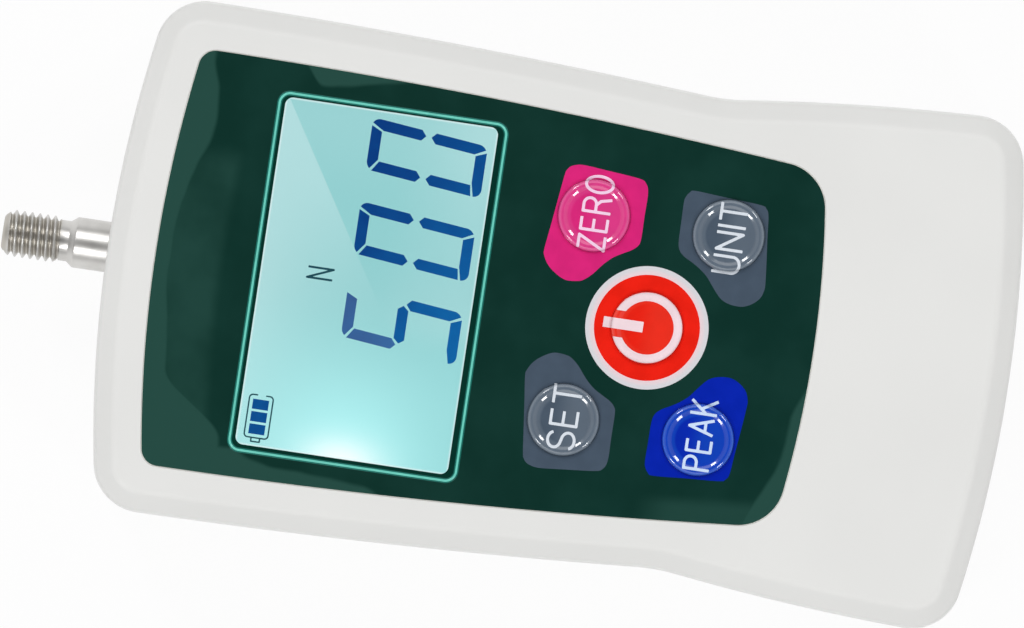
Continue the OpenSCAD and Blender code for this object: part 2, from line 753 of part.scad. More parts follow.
module lcd_backlight() {
    light_h = lcd_h - 2 * (zebra_w + 2 * lcd_fit);
    color("white")
    translate([0, from_head(window_y), pcb_top_z + backlight_t / 2])
        cube([lcd_w, light_h, backlight_t], center = true);
}

module lcd_frame() {
    fit_w = lcd_w + 2 * lcd_fit;
    fit_h = lcd_h + 2 * lcd_fit;
    color("gray")
    translate([0, from_head(window_y), pcb_top_z])
        linear_extrude(lcd_top_z - pcb_top_z)
            difference() {
                rounded_rect(fit_w + 2 * lcd_frame_wall, fit_h + 2 * lcd_frame_wall, lcd_frame_wall);
                square([fit_w, fit_h], center = true);
            }
}

module zebra_strips() {
    color("black")
    for (side = [-1, 1])
        translate([0, from_head(window_y) + side * (lcd_h - zebra_w) / 2, pcb_top_z + backlight_t / 2])
            cube([lcd_w - 2 * zebra_inset, zebra_w, backlight_t], center = true);
}

module main_pcb() {
    color("seagreen")
    difference() {
        union() {
            plate(-pcb_w / 2, pcb_w / 2, pcb_wide_bottom, pcb_wide_top, pcb_bottom_z, pcb_top_z);
            plate(-pcb_tab_w / 2, pcb_tab_w / 2, pcb_tail_y, pcb_head_y, pcb_bottom_z, pcb_top_z);
        }
        for (p = pcb_posts) post(p, screw_d + 2 * screw_gap, pcb_bottom_z - past, pcb_top_z + past);
    }
}

module pcb_screws() {
    color("silver")
    for (p = pcb_posts)
        translate([p.x, p.y, pcb_bottom_z])
            screw(screw_d, pcb_t + pcb_screw_bite, screw_head_d, screw_head_h);
}

module board_chips() {
    left = -key_pitch_x / 2 - chip_w;
    processor = [left, from_head(key_row_1) + chip_l, mcu_w, mcu_w];
    converter = [left, from_head(key_row_1) - chip_l, chip_w, chip_l];
    charger = [left + 2 * mcu_w, from_head(key_row_2) - chip_l, chip_l, chip_w];
    color("black")
    for (c = [processor, converter, charger])
        translate([c[0], c[1], pcb_bottom_z - chip_h / 2]) cube([c[2], c[3], chip_h], center = true);
}

// A plug under the circuit board for the given number of leads
module lead_plug(x, y, count) {
    length = (count - 1) * lead_pitch + lead_d + 2 * plug_edge;
    translate([x, y, plug_z + plug_h / 2]) cube([plug_w, length, plug_h], center = true);
}

// Leads that leave an upright face along X, bend up and end at a plug
module rising_leads(x, y, z, count) {
    bend_x = x + lead_start;
    for (i = [0 : count - 1]) translate([0, y + (i - (count - 1) / 2) * lead_pitch, 0]) {
        translate([x, 0, z]) rotate([0, 90, 0]) cylinder(d = lead_d, h = lead_start);
        translate([bend_x, 0, z + lead_bend]) rotate([90, 0, 0])
            rotate_extrude(angle = 90, start = 270) translate([lead_bend, 0]) circle(d = lead_d);
        translate([bend_x + lead_bend, 0, z + lead_bend]) cylinder(d = lead_d, h = plug_z - z - lead_bend);
    }
}

module lead_plugs() {
    color("ivory") {
        lead_plug(sensor_lead_x + lead_start + lead_bend, sensor_lead_y, sensor_lead_count);
        lead_plug(battery_lead_x + lead_start + lead_bend, battery_lead_y, battery_lead_count);
    }
}

module sensor_leads() {
    color("gold") rising_leads(sensor_lead_x, sensor_lead_y, sensor_lead_z, sensor_lead_count);
}

module battery_leads() {
    color("firebrick") rising_leads(battery_lead_x, battery_lead_y, battery_lead_z, battery_lead_count);
}

module tact_switches() {
    color("dimgray")
    for (k = keys_at)
        difference() {
            translate([k.x, k.y, pcb_top_z + switch_h / 2])
                cube([switch_w, switch_w, switch_h], center = true);
            post(k, plunger_d + 2 * key_gap, plunger_foot_z - key_travel - press_gap, switch_top_z + past);
        }
}

module switch_plunger(at) {
    color("ivory") post(at, plunger_d, plunger_foot_z, plunger_top_z);
}

// A key: an embossed dome with a raised rim, and a stem that stands on the switch plunger
module dome_key(at, tint) {
    r = key_d / 2;
    rim_c = r - key_rim_w / 2;
    rim_end = 150;
    rim = [for (a = [0 : 30 : rim_end]) [rim_c + key_rim_w / 2 * cos(a), film_top_z + key_dome_h * sin(a)]];
    dish = rim[len(rim) - 1];
    crown_z = film_top_z + key_crown_h;
    crown = [for (t = [2 / 3, 1 / 3, 0]) [dish.x * t, crown_z + (dish.y - crown_z) * t * t]];
    color(tint)
    translate([at.x, at.y, 0]) {
        rotate_extrude() polygon(concat([[0, key_bottom_z], [r, key_bottom_z]], rim, crown));
        translate([0, 0, plunger_top_z]) cylinder(d = key_stem_d, h = film_seat_z - plunger_top_z);
    }
}

module buzzer() {
    at = [-pcb_w / 2 + buzzer_d, pcb_wide_bottom + 1.5 * buzzer_d];
    color("black") post(at, buzzer_d, pcb_bottom_z - buzzer_h, pcb_bottom_z);
}

module charging_socket() {
    y0 = tail_y + socket_mouth;
    y1 = y0 + socket_l;
    z0 = pcb_bottom_z - socket_h;
    z_mid = z0 + socket_h / 2;
    side = socket_w / 2;
    back = 2 * socket_wall;
    color("silver") {
        difference() {
            plate(-side, side, y0, y1, z0, pcb_bottom_z);
            plate(-side + socket_wall, side - socket_wall, y0 - past, y1 - back,
                  z0 + socket_wall, pcb_bottom_z - socket_wall);
        }
        plate(-side / 2, side / 2, y0 + back, y1 - socket_wall, z_mid - tongue_t / 2, z_mid + tongue_t / 2);
    }
}

module chassis_plate() {
    color("silver")
    difference() {
        union() {
            plate(-chassis_w / 2, chassis_w / 2, chassis_low_y, chassis_high_y, chassis_z, chassis_top_z);
            plate(-cell_w / 2, cell_w / 2, cell_base_y, cell_base_y + cell_arm,
                  chassis_top_z - past / 2, cell_bottom_z);
        }
        at_corners([-stand_pitch_x / 2, stand_pitch_x / 2], stand_ys)
            post([0, 0], stand_d, chassis_z - past, chassis_top_z + past);
        at_corners([-chassis_screw_pitch / 2, chassis_screw_pitch / 2], stand_ys)
            post([0, 0], screw_d + 2 * screw_gap, chassis_z - past, chassis_top_z + past);
        at_corners([-cell_screw_pitch / 2, cell_screw_pitch / 2], [cell_screw_y]) {
            post([0, 0], cell_head_d + 2 * head_gap, chassis_z - past, cell_head_z);
            post([0, 0], cell_screw_d + 2 * screw_gap, chassis_z - past, cell_bottom_z + past);
        }
    }
}

module chassis_screws() {
    color("dimgray")
    at_corners([-chassis_screw_pitch / 2, chassis_screw_pitch / 2], stand_ys)
        translate([0, 0, chassis_top_z]) rotate([180, 0, 0])
            screw(screw_d, chassis_top_z - chassis_screw_floor - screw_rest, screw_head_d, screw_head_h);
}

// S-shaped beam: two slots from opposite sides and a bending bar with a pair of linked holes
module load_cell() {
    color("gainsboro")
    difference() {
        translate([0, 0, cell_bottom_z])
            linear_extrude(cell_t)
                difference() {
                    translate([-cell_w / 2, cell_base_y]) square([cell_w, cell_l]);
                    translate([-cell_w / 2 + cell_web, bar_high_y]) square([cell_w, cell_slot]);
                    translate([-cell_w / 2 - cell_web, bar_low_y - cell_slot]) square([cell_w, cell_slot]);
                    for (side = [-1, 1])
                        translate([side * cell_hole_pitch / 2, bar_mid_y]) circle(d = cell_hole_d);
                    translate([0, bar_mid_y]) square([cell_hole_pitch, cell_link], center = true);
                }
        bar(0, rod_z, thread_d + 2 * spigot_gap, cell_top_y - spigot_l - spigot_rest, cell_top_y + past);
        at_corners([-cell_screw_pitch / 2, cell_screw_pitch / 2], [cell_screw_y])
            post([0, 0], cell_screw_d + 2 * screw_gap, cell_bottom_z - past,
                 cell_bottom_z + cell_screw_bite + screw_rest);
    }
}

module load_cell_screws() {
    color("dimgray")
    at_corners([-cell_screw_pitch / 2, cell_screw_pitch / 2], [cell_screw_y])
        translate([0, 0, cell_head_z])
            screw(cell_screw_d, cell_bottom_z - cell_head_z + cell_screw_bite, cell_head_d, cell_head_h);
}

module strain_gauges() {
    color("darkorange")
    for (x = [-1, 1], y = [bar_low_y - gauge_t, bar_high_y])
        translate([x * cell_hole_pitch / 2 - gauge_w / 2, y, rod_z - gauge_l / 2])
            cube([gauge_w, gauge_t, gauge_l]);
}

// One turned piece: spigot, collar, shank, cone, neck and threaded end
module sensing_rod() {
    shank_end = head_y + shank_out;
    neck_start = shank_end + shank_cone;
    thread_start = neck_start + neck_l;
    tip = thread_start + thread_l;
    collar_start = cell_top_y + collar_gap;
    profile = [
        [0, cell_top_y - spigot_l], [thread_d / 2, cell_top_y - spigot_l],
        [thread_d / 2, collar_start], [collar_d / 2, collar_start],
        [collar_d / 2, collar_start + collar_l], [shank_d / 2, collar_start + collar_l],
        [shank_d / 2, shank_end], [neck_d / 2, neck_start], [neck_d / 2, thread_start],
        [thread_d / 2, thread_start], [thread_d / 2, tip - tip_chamfer],
        [thread_d / 2 - tip_chamfer, tip], [0, tip]
    ];
    color("silver")
    translate([0, 0, rod_z]) rotate([-90, 0, 0]) rotate_extrude() polygon(profile);
}

module battery_tray() {
    color("black")
    difference() {
        plate(-tray_w / 2, tray_w / 2, tray_low_y, tray_high_y, wall, wall + tray_h);
        for (side = [-1, 1])
            bar(side * battery_pitch / 2, battery_z, battery_d + 2 * battery_gap,
                tray_low_y + tray_wall, tray_high_y - tray_wall);
    }
}

module battery_cells() {
    low_y = battery_mid_y - battery_l / 2;
    high_y = low_y + battery_l;
    color("royalblue")
    for (side = [-1, 1]) {
        bar(side * battery_pitch / 2, battery_z, battery_d, low_y, high_y - battery_tip_l);
        bar(side * battery_pitch / 2, battery_z, battery_tip_d, battery_mid_y, high_y);
    }
}

module battery_contacts() {
    color("silver")
    for (x = [-1, 1], y = [tray_low_y + tray_wall, tray_high_y - tray_wall - contact_t])
        translate([x * battery_pitch / 2, y + contact_t / 2, battery_z])
            cube([contact_w, contact_t, contact_w], center = true);
}

module key_zero() { dome_key(key_zero_at, "deeppink"); }
module key_set() { dome_key(key_set_at, "slategray"); }
module key_unit() { dome_key(key_unit_at, "slategray"); }
module key_peak() { dome_key(key_peak_at, "mediumblue"); }
module key_power() { dome_key(key_power_at, "red"); }
module plunger_zero() { switch_plunger(key_zero_at); }
module plunger_set() { switch_plunger(key_set_at); }
module plunger_unit() { switch_plunger(key_unit_at); }
module plunger_peak() { switch_plunger(key_peak_at); }
module plunger_power() { switch_plunger(key_power_at); }

front_shell();
rear_shell();
case_screws();
keypad_overlay();
window_lens();
lcd_panel();
lcd_backlight();
lcd_frame();
zebra_strips();
main_pcb();
pcb_screws();
board_chips();
tact_switches();
buzzer();
charging_socket();
chassis_plate();
chassis_screws();
load_cell();
load_cell_screws();
strain_gauges();
sensing_rod();
battery_tray();
battery_cells();
battery_contacts();
lead_plugs();
sensor_leads();
battery_leads();
key_zero();
key_set();
key_unit();
key_peak();
key_power();
plunger_zero();
plunger_set();
plunger_unit();
plunger_peak();
plunger_power();
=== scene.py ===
import json
import math

import bmesh
import bpy
import numpy as np
from mathutils import Matrix, Vector


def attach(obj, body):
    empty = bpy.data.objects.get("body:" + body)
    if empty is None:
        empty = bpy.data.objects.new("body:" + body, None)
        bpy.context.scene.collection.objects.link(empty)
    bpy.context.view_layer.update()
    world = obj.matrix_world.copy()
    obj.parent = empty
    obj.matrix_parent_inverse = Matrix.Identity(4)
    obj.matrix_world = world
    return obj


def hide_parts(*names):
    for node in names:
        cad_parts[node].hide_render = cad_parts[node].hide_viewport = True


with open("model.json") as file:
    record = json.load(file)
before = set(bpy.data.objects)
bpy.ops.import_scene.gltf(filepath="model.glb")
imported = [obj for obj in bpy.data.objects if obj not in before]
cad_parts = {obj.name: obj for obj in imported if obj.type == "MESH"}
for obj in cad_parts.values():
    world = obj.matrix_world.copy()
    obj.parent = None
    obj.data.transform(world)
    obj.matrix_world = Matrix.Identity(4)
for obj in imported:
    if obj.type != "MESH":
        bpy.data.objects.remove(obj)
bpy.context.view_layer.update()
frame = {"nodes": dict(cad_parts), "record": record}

# Sizes shared with the solids
HEAD_Y = 51.3
TAIL_Y = -64.9
BODY_T = 36.0
PARTING_Z = 22.0
WALL = 2.5
DRAFT = 0.3
INNER = WALL + DRAFT
FILM_SEAT_Z = 35.3
FILM_TOP_Z = 35.8
PANEL_Z = 33.3
LCD_TOP_Z = 33.0
PCB_TOP_Z = 27.8
WINDOW_Y = 17.8
WINDOW_MIDDLE = (0.0, WINDOW_Y)
PLATE = (47.0, 29.6)
PLATE_CORNER = 2.1
PLATE_LOW_Z = 33.8
ROD_Z = 16.5
THREAD_Y = 57.6
KEY_R = 4.6
RIM_R = 3.95
CASE_SCREWS = [(x, y) for x in (-25.5, 25.5) for y in (-55.1, 41.5)]
STAND_HOLES = [(x, y) for x in (-15.0, 15.0) for y in (-1.0, 43.0)]
BOARD_POSTS = [(-14.5, 39.3), (14.5, 39.3), (-23.0, -47.2), (23.0, -47.2)]

# Sizes and places on the face, within 0.3 mm of the solids'
WINDOW = (44.5, 27.3)
WINDOW_CORNER = 1.0
KEY_HOLE_R = KEY_R + 0.03
POWER_PAD_R = 6.73
POWER_RING_R = 7.83
KEY_PLACES = {
    "zero": (13.07, -9.4),
    "set": (-13.13, -9.38),
    "unit": (13.07, -26.68),
    "peak": (-13.13, -26.66),
    "power": (-0.03, -18.15),
}
# How far a layer of print stands off the one below it
INK = 0.015


# Outlines

def arc_centre(p, q, r):
    """Centre of the arc of radius r from p up to q, on the inner side."""
    p, q = np.array(p), np.array(q)
    chord = np.linalg.norm(q - p)
    along = (q - p) / chord
    return (p + q) / 2 + math.sqrt(r * r - chord * chord / 4) * np.array([-along[1], along[0]])


def meet(c1, r1, c2, r2):
    """The right-hand crossing of two circles."""
    c1, c2 = np.array(c1), np.array(c2)
    gap = np.linalg.norm(c2 - c1)
    along = (c2 - c1) / gap
    reach = (r1 * r1 - r2 * r2 + gap * gap) / (2 * gap)
    rise = math.sqrt(r1 * r1 - reach * reach)
    side = np.array([-along[1], along[0]]) * rise
    foot = c1 + reach * along
    return max(foot + side, foot - side, key=lambda p: p[0])


def heading(start, end):
    return math.atan2(end[1] - start[1], end[0] - start[0])


def arc(c, r, a0, a1, steps):
    """Points along an arc, without its last one."""
    a = a0 + (a1 - a0) * np.arange(steps) / steps
    return np.stack([c[0] + r * np.cos(a), c[1] + r * np.sin(a)], 1)


def both_sides(half):
    """A closed outline from its right half, which starts and ends on the middle line."""
    left = half[-2:0:-1] * np.array([-1.0, 1.0])
    return np.concatenate([half, left])


HEAD_R, TAIL_R = 165.0, 170.0
UPPER_R, LOWER_R, CORNER_R, WAIST_R = 950.0, 312.0, 6.4, 24.0
WAIST = (30.2, HEAD_Y - 75.2)
HEAD_C = (0.0, HEAD_Y - HEAD_R)
TAIL_C = (0.0, TAIL_Y + TAIL_R)
UPPER_C = arc_centre(WAIST, (32.9, HEAD_Y - 10.5), UPPER_R)
LOWER_C = arc_centre((33.0, TAIL_Y + 9.3), WAIST, LOWER_R)
WAIST_C = meet(LOWER_C, LOWER_R + WAIST_R, UPPER_C, UPPER_R + WAIST_R)
HEAD_CORNER_C = meet(UPPER_C, UPPER_R - CORNER_R, HEAD_C, HEAD_R - CORNER_R)
TAIL_CORNER_C = meet(LOWER_C, LOWER_R - CORNER_R, TAIL_C, TAIL_R - CORNER_R)


def body_outline(inset):
    """The housing seen from the front, drawn in by inset."""
    tail_turn = heading(TAIL_C, TAIL_CORNER_C)
    foot_turn = heading(LOWER_C, TAIL_CORNER_C)
    low_waist = heading(LOWER_C, WAIST_C)
    high_waist = heading(UPPER_C, WAIST_C)
    shoulder = heading(UPPER_C, HEAD_CORNER_C)
    head_turn = heading(HEAD_C, HEAD_CORNER_C)
    return both_sides(np.concatenate([
        arc(TAIL_C, TAIL_R - inset, -math.pi / 2, tail_turn, 30),
        arc(TAIL_CORNER_C, CORNER_R - inset, tail_turn, foot_turn, 20),
        arc(LOWER_C, LOWER_R - inset, foot_turn, low_waist, 20),
        arc(WAIST_C, WAIST_R + inset, math.pi + low_waist, math.pi + high_waist, 8),
        arc(UPPER_C, UPPER_R - inset, high_waist, shoulder, 30),
        arc(HEAD_CORNER_C, CORNER_R - inset, shoulder, head_turn, 20),
        arc(HEAD_C, HEAD_R - inset, head_turn, math.pi / 2, 30),
        [[0.0, HEAD_Y - inset]],
    ]))


FILM_HEAD_R, FILM_SIDE_R, FILM_TAIL_R = 164.0, 816.0, 139.0
FILM_HEAD_CORNER, FILM_TAIL_CORNER = 2.3, 6.0
FILM_LENGTH, FILM_HALF_W = 84.58, 26.72
FILM_HEAD_Y = HEAD_Y - 6.3
FILM_TAIL_Y = FILM_HEAD_Y - FILM_LENGTH
FILM_HEAD_C = (0.0, FILM_HEAD_Y - FILM_HEAD_R)
FILM_TAIL_C = (0.0, FILM_TAIL_Y + FILM_TAIL_R)
FILM_SIDE_C = (FILM_HALF_W - FILM_SIDE_R, FILM_HEAD_Y - 3.0)
FILM_OFFSET = np.array([0.07, 0.0])
FILM_HEAD_CORNER_C = meet(
    FILM_SIDE_C, FILM_SIDE_R - FILM_HEAD_CORNER, FILM_HEAD_C, FILM_HEAD_R - FILM_HEAD_CORNER)
FILM_TAIL_CORNER_C = meet(
    FILM_SIDE_C, FILM_SIDE_R - FILM_TAIL_CORNER, FILM_TAIL_C, FILM_TAIL_R - FILM_TAIL_CORNER)


def film_outline(margin):
    """The overlay film seen from the front, let out by margin."""
    tail_turn = heading(FILM_TAIL_C, FILM_TAIL_CORNER_C)
    low_turn = heading(FILM_SIDE_C, FILM_TAIL_CORNER_C)
    high_turn = heading(FILM_SIDE_C, FILM_HEAD_CORNER_C)
    head_turn = heading(FILM_HEAD_C, FILM_HEAD_CORNER_C)
    return both_sides(np.concatenate([
        arc(FILM_TAIL_C, FILM_TAIL_R + margin, -math.pi / 2, tail_turn, 40),
        arc(FILM_TAIL_CORNER_C, FILM_TAIL_CORNER + margin, tail_turn, low_turn, 24),
        arc(FILM_SIDE_C, FILM_SIDE_R + margin, low_turn, high_turn, 90),
        arc(FILM_HEAD_CORNER_C, FILM_HEAD_CORNER + margin, high_turn, head_turn, 14),
        arc(FILM_HEAD_C, FILM_HEAD_R + margin, head_turn, math.pi / 2, 40),
        [[0.0, FILM_HEAD_Y + margin]],
    ])) + FILM_OFFSET


def rounded_rect(w, h, r, cx, cy, steps=10):
    corners = [(1, -1, -90), (1, 1, 0), (-1, 1, 90), (-1, -1, 180)]
    points = []
    for sx, sy, start in corners:
        for a in np.radians(np.linspace(start, start + 90, steps + 1)):
            points.append((cx + sx * (w / 2 - r) + r * math.cos(a), cy + sy * (h / 2 - r) + r * math.sin(a)))
    return np.array(points)


def let_out(size, corner, margin, middle, steps=10):
    """A rounded rectangle that is let out all round."""
    return rounded_rect(size[0] + 2 * margin, size[1] + 2 * margin, corner + margin, *middle, steps)


def circle(cx, cy, r, steps):
    a = np.arange(steps) * 2 * math.pi / steps
    return np.stack([cx + r * np.cos(a), cy + r * np.sin(a)], 1)


def smooth_loop(points, steps=8):
    """A closed curve through the given points."""
    p = np.array(points, float)
    before, after, far = np.roll(p, 1, 0), np.roll(p, -1, 0), np.roll(p, -2, 0)
    t = (np.arange(steps) / steps)[None, :, None]
    p, before, after, far = (q[:, None, :] for q in (p, before, after, far))
    curve = (2 * p + (after - before) * t + (2 * before - 5 * p + 4 * after - far) * t**2
             + (3 * p - before - 3 * after + far) * t**3) / 2
    return curve.reshape(-1, 2)


# Meshes, each as (points, faces)

def at_height(outline, z):
    return np.column_stack([outline, np.full(len(outline), z)])


def levels(outline, path):
    """Rings of an outline that takes a margin or an inset, at (amount, height) pairs."""
    return [at_height(outline(amount), z) for amount, z in path]


def skin(rings, capped=True):
    """Faces between rings of equal length, from the lowest to the highest."""
    n = len(rings[0])
    faces = []
    for k in range(len(rings) - 1):
        for i in range(n):
            j = (i + 1) % n
            faces.append((k * n + i, k * n + j, k * n + n + j, k * n + n + i))
    if capped:
        faces.append(tuple(range(n - 1, -1, -1)))
        faces.append(tuple(range((len(rings) - 1) * n, len(rings) * n)))
    return np.concatenate(rings), faces


def join(*meshes):
    points, faces, start = [], [], 0
    for p, f in meshes:
        points.append(np.asarray(p, float).reshape(-1, 3))
        faces.extend(tuple(start + i for i in face) for face in f)
        start += len(p)
    return np.concatenate(points), faces


def slab(outline, z0, z1):
    return skin([at_height(outline, z) for z in (z0, z1)])


def posts(places, r, z0, z1):
    return [slab(circle(x, y, r, 48), z0, z1) for x, y in places]


def turned(profile, steps=96, centre=(0.0, 0.0)):
    """A shape turned about Z from (radius, height) pairs, from the bottom up, which may end on the axis."""
    return skin([at_height(circle(*centre, max(r, 1e-4), steps), z) for r, z in profile])


def along_y(mesh, z):
    """Lays a shape turned about Z along Y, with its axis at the given height."""
    points, faces = mesh
    x, y, h = np.asarray(points).T
    return np.column_stack([x, h, z - y]), faces


def solid_object(name, mesh):
    points, faces = mesh
    data = bpy.data.meshes.new(name)
    data.from_pydata((np.asarray(points) * 0.001).tolist(), [], faces)
    data.validate()
    made = bpy.data.objects.new(name, data)
    bpy.context.scene.collection.objects.link(made)
    return made


def settle(obj):
    """Replaces an object's mesh by what its modifiers make of it."""
    shaped = bpy.data.meshes.new_from_object(obj.evaluated_get(bpy.context.evaluated_depsgraph_get()))
    old = obj.data
    obj.modifiers.clear()
    obj.data = shaped
    bpy.data.meshes.remove(old)


def hollow(obj, cavity, added, *openings):
    """Hollows an object, adds what stands inside it and cuts its openings, all given as meshes."""
    tools = []
    for operation, mesh in [("DIFFERENCE", cavity), ("UNION", added), *(("DIFFERENCE", o) for o in openings)]:
        tool = solid_object("tool", mesh)
        tools.append(tool)
        change = obj.modifiers.new("step", "BOOLEAN")
        change.operation = operation
        change.solver = "MANIFOLD"
        change.object = tool
    settle(obj)
    for tool in tools:
        data = tool.data
        bpy.data.objects.remove(tool)
        bpy.data.meshes.remove(data)


def dress(obj, finish, slot, angle=30.0, replaces=(), even=False, body="housing"):
    """Shades a piece, gives it its finish and lets it ride on a body."""
    obj.data.polygons.foreach_set("use_smooth", [True] * len(obj.data.polygons))
    obj.data.set_sharp_from_angle(angle=math.radians(angle))
    if even:
        obj.modifiers.new("even", "WEIGHTED_NORMAL").keep_sharp = True
        settle(obj)
    obj.data.materials.clear()
    obj.data.materials.append(finish)
    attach(obj, body)
    if replaces:
        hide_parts(*replaces)


def piece(name, mesh, finish, slot, **how):
    dress(solid_object(name, mesh), finish, slot, **how)


# Shader maths

def maths(operation, swapped=False):
    """A method that adds one maths node."""
    def run(self, other=0.0):
        first, second = (other, self) if swapped else (self, other)
        return self.graph.node("ShaderNodeMath", {"operation": operation}, {0: first, 1: second})
    return run


class Wire:
    """One shader socket, so that shader maths reads as ordinary expressions."""

    def __init__(self, graph, socket):
        self.graph = graph
        self.socket = socket

    __add__ = __radd__ = maths("ADD")
    __sub__ = maths("SUBTRACT")
    __rsub__ = maths("SUBTRACT", True)
    __mul__ = __rmul__ = maths("MULTIPLY")
    __truediv__ = maths("DIVIDE")
    __pow__ = maths("POWER")
    __abs__ = maths("ABSOLUTE")
    least = maths("MINIMUM")
    most = maths("MAXIMUM")
    exp = maths("EXPONENT")


class Graph:
    """A node tree that is filled by expressions."""

    def __init__(self, tree):
        self.tree = tree

    def node(self, kind, settings=None, sockets=None, output=0):
        made = self.tree.nodes.new(kind)
        for key, value in (settings or {}).items():
            setattr(made, key, value)
        for key, value in (sockets or {}).items():
            self.feed(made.inputs[key], value)
        return Wire(self, made.outputs[output])

    def feed(self, socket, value):
        if isinstance(value, Wire):
            self.tree.links.new(value.socket, socket)
        else:
            socket.default_value = value

    def place(self):
        """Places on the piece itself, in metres."""
        return self.node("ShaderNodeTexCoord", output="Object")

    def axes(self):
        """The same places as three numbers, in millimetres."""
        spread = self.node("ShaderNodeSeparateXYZ", None, {0: self.place()})
        outs = spread.socket.node.outputs
        return [Wire(self, outs[k]) * 1000.0 for k in range(3)]

    def around(self, centre):
        """How far places lie from a centre on the face: along y, and in all."""
        x, y, _ = self.axes()
        off_x, off_y = x - centre[0], y - centre[1]
        return off_y, (off_x * off_x + off_y * off_y) ** 0.5

    def noise(self, size_mm, detail=2.0, stretch=(1.0, 1.0, 1.0), rough=0.5):
        where = self.place()
        if stretch != (1.0, 1.0, 1.0):
            where = self.node("ShaderNodeVectorMath", {"operation": "MULTIPLY"}, {0: where, 1: stretch})
        return self.node("ShaderNodeTexNoise", None, {
            "Vector": where, "Scale": 1000.0 / size_mm, "Detail": detail, "Roughness": rough})

    def ease(self, value, low, high):
        """0 below low, 1 above high and smooth between; the other way round where low is above high."""
        return self.node("ShaderNodeMapRange", {"interpolation_type": "SMOOTHSTEP"}, {
            "Value": value, "From Min": low, "From Max": high, "To Min": 0.0, "To Max": 1.0})

    def mix(self, factor, first, second):
        return self.node("ShaderNodeMix", {"data_type": "RGBA"}, {0: factor, 6: first, 7: second}, 2)

    def mottled(self, cloud, colour, low, high):
        """A colour that noise makes darker here and lighter there."""
        return self.mix(self.ease(cloud, 0.3, 0.7), shade(colour, low), shade(colour, high))

    def bump(self, height, depth_mm, strength=0.5):
        return self.node("ShaderNodeBump", None, {
            "Strength": strength, "Distance": depth_mm * 0.001, "Height": height}, "Normal")


class Finish(Graph):
    """A material whose surface is one Principled shader."""

    def __init__(self, name, **sockets):
        self.material = bpy.data.materials.new(name)
        self.material.use_nodes = True
        super().__init__(self.material.node_tree)
        self.shader = self.tree.nodes["Principled BSDF"]
        self.set(**sockets)

    def set(self, **sockets):
        """Feeds the shader and gives back the material."""
        for key, value in sockets.items():
            self.feed(self.shader.inputs[key.replace("_", " ")], value)
        return self.material


def srgb(r, g, b):
    """A colour given as it looks on screen, from 0 to 255."""
    def straight(c):
        c = c / 255
        return c / 12.92 if c <= 0.04045 else ((c + 0.055) / 1.055) ** 2.4
    return (straight(r), straight(g), straight(b), 1.0)


def shade(colour, factor):
    return (colour[0] * factor, colour[1] * factor, colour[2] * factor, 1.0)


# Finishes

def moulded(name, colour, rough, grain_mm, depth_mm, mottle=0.03):
    """Moulded plastic with the fine sparked grain of its tool and a slight unevenness of tone."""
    f = Finish(name)
    grain = f.noise(grain_mm, 3.0, rough=0.6)
    flow = f.noise(14.0)
    return f.set(
        Base_Color=f.mottled(flow, colour, 1 - mottle, 1 + mottle / 2),
        Roughness=rough + (grain - 0.5) * 0.16 + (flow - 0.5) * 0.1,
        Normal=f.bump(grain, depth_mm),
    )


def housing_plastic():
    """Satin white housing: fine grain, faint flow tone, a few specks of dust."""
    f = Finish("housing_white", Specular_IOR_Level=0.4)
    grain = f.noise(0.3, 3.0, rough=0.65)
    flow = f.noise(22.0)
    speck = f.ease(f.noise(0.9, 1.0), 0.80, 0.86) * f.ease(f.noise(9.0, 1.0), 0.6, 0.7)
    body = f.mottled(flow, srgb(227, 227, 225), 0.985, 1.01)
    return f.set(
        Base_Color=f.mix(speck * 0.35, body, srgb(150, 148, 142)),
        Roughness=0.46 + (grain - 0.5) * 0.18 + (flow - 0.5) * 0.1,
        Normal=f.bump(grain, 0.004, 0.45),
    )


def painted_film_reflection(f):
    """Painted reflection: how strongly pale reflected patches are painted on the film, 1 along parts of its
    border.
    """
    x, y, _ = f.axes()
    wobble = f.noise(7.0) * 2.0 - 1.0
    haze = f.noise(9.0, 3.0)
    side_edge = 26.8 - (y - 42.0) * (y - 42.0) / 1632.0
    from_head = 45.0 - x * x / 328.0 - y
    from_tail = y + 39.7 - x * x / 278.0
    swell = ((x - 17.5) * (x - 17.5) * -0.02).exp() * 2.2
    head_width = (swell - f.ease(x, 22.0, 25.5) * 0.7 + f.ease(x, -4.0, -10.0) * 0.8 + 2.1
                  + f.ease(x, -14.0, -22.0) * 7.0)
    low_side_width = f.ease(y, 15.0, 40.0) * 3.2 + f.ease(y, 10.0, 15.0) * 1.6 - 0.6
    high_side_width = f.ease(y, 30.3, 27.0) * f.ease(y, 11.0, 28.0) * 3.0 - 0.6
    tail_width = f.ease(x, -2.0, -9.0) * 2.0 + f.ease(x, -13.0, -25.0) * 3.0 - 0.5
    areas = [(from_head, head_width, 0.4), (side_edge + x, low_side_width, 0.9),
             (side_edge - x, high_side_width, 0.5), (from_tail, tail_width, 0.25)]
    half_head = f.ease(from_head, 9.3, 7.4) * f.ease(x, 15.5, 12.0) * (f.ease(haze, 0.3, 0.7) * 0.36 + 0.25)
    half_side = f.ease(side_edge + x, 3.9, 2.0) * f.ease(y, -19.0, -25.0) * 0.65
    reflected = half_head.most(half_side)
    for inside, width, waves in areas:
        reflected = reflected.most(f.ease(inside - width - wobble * waves, 0.35, -0.35))
    return reflected


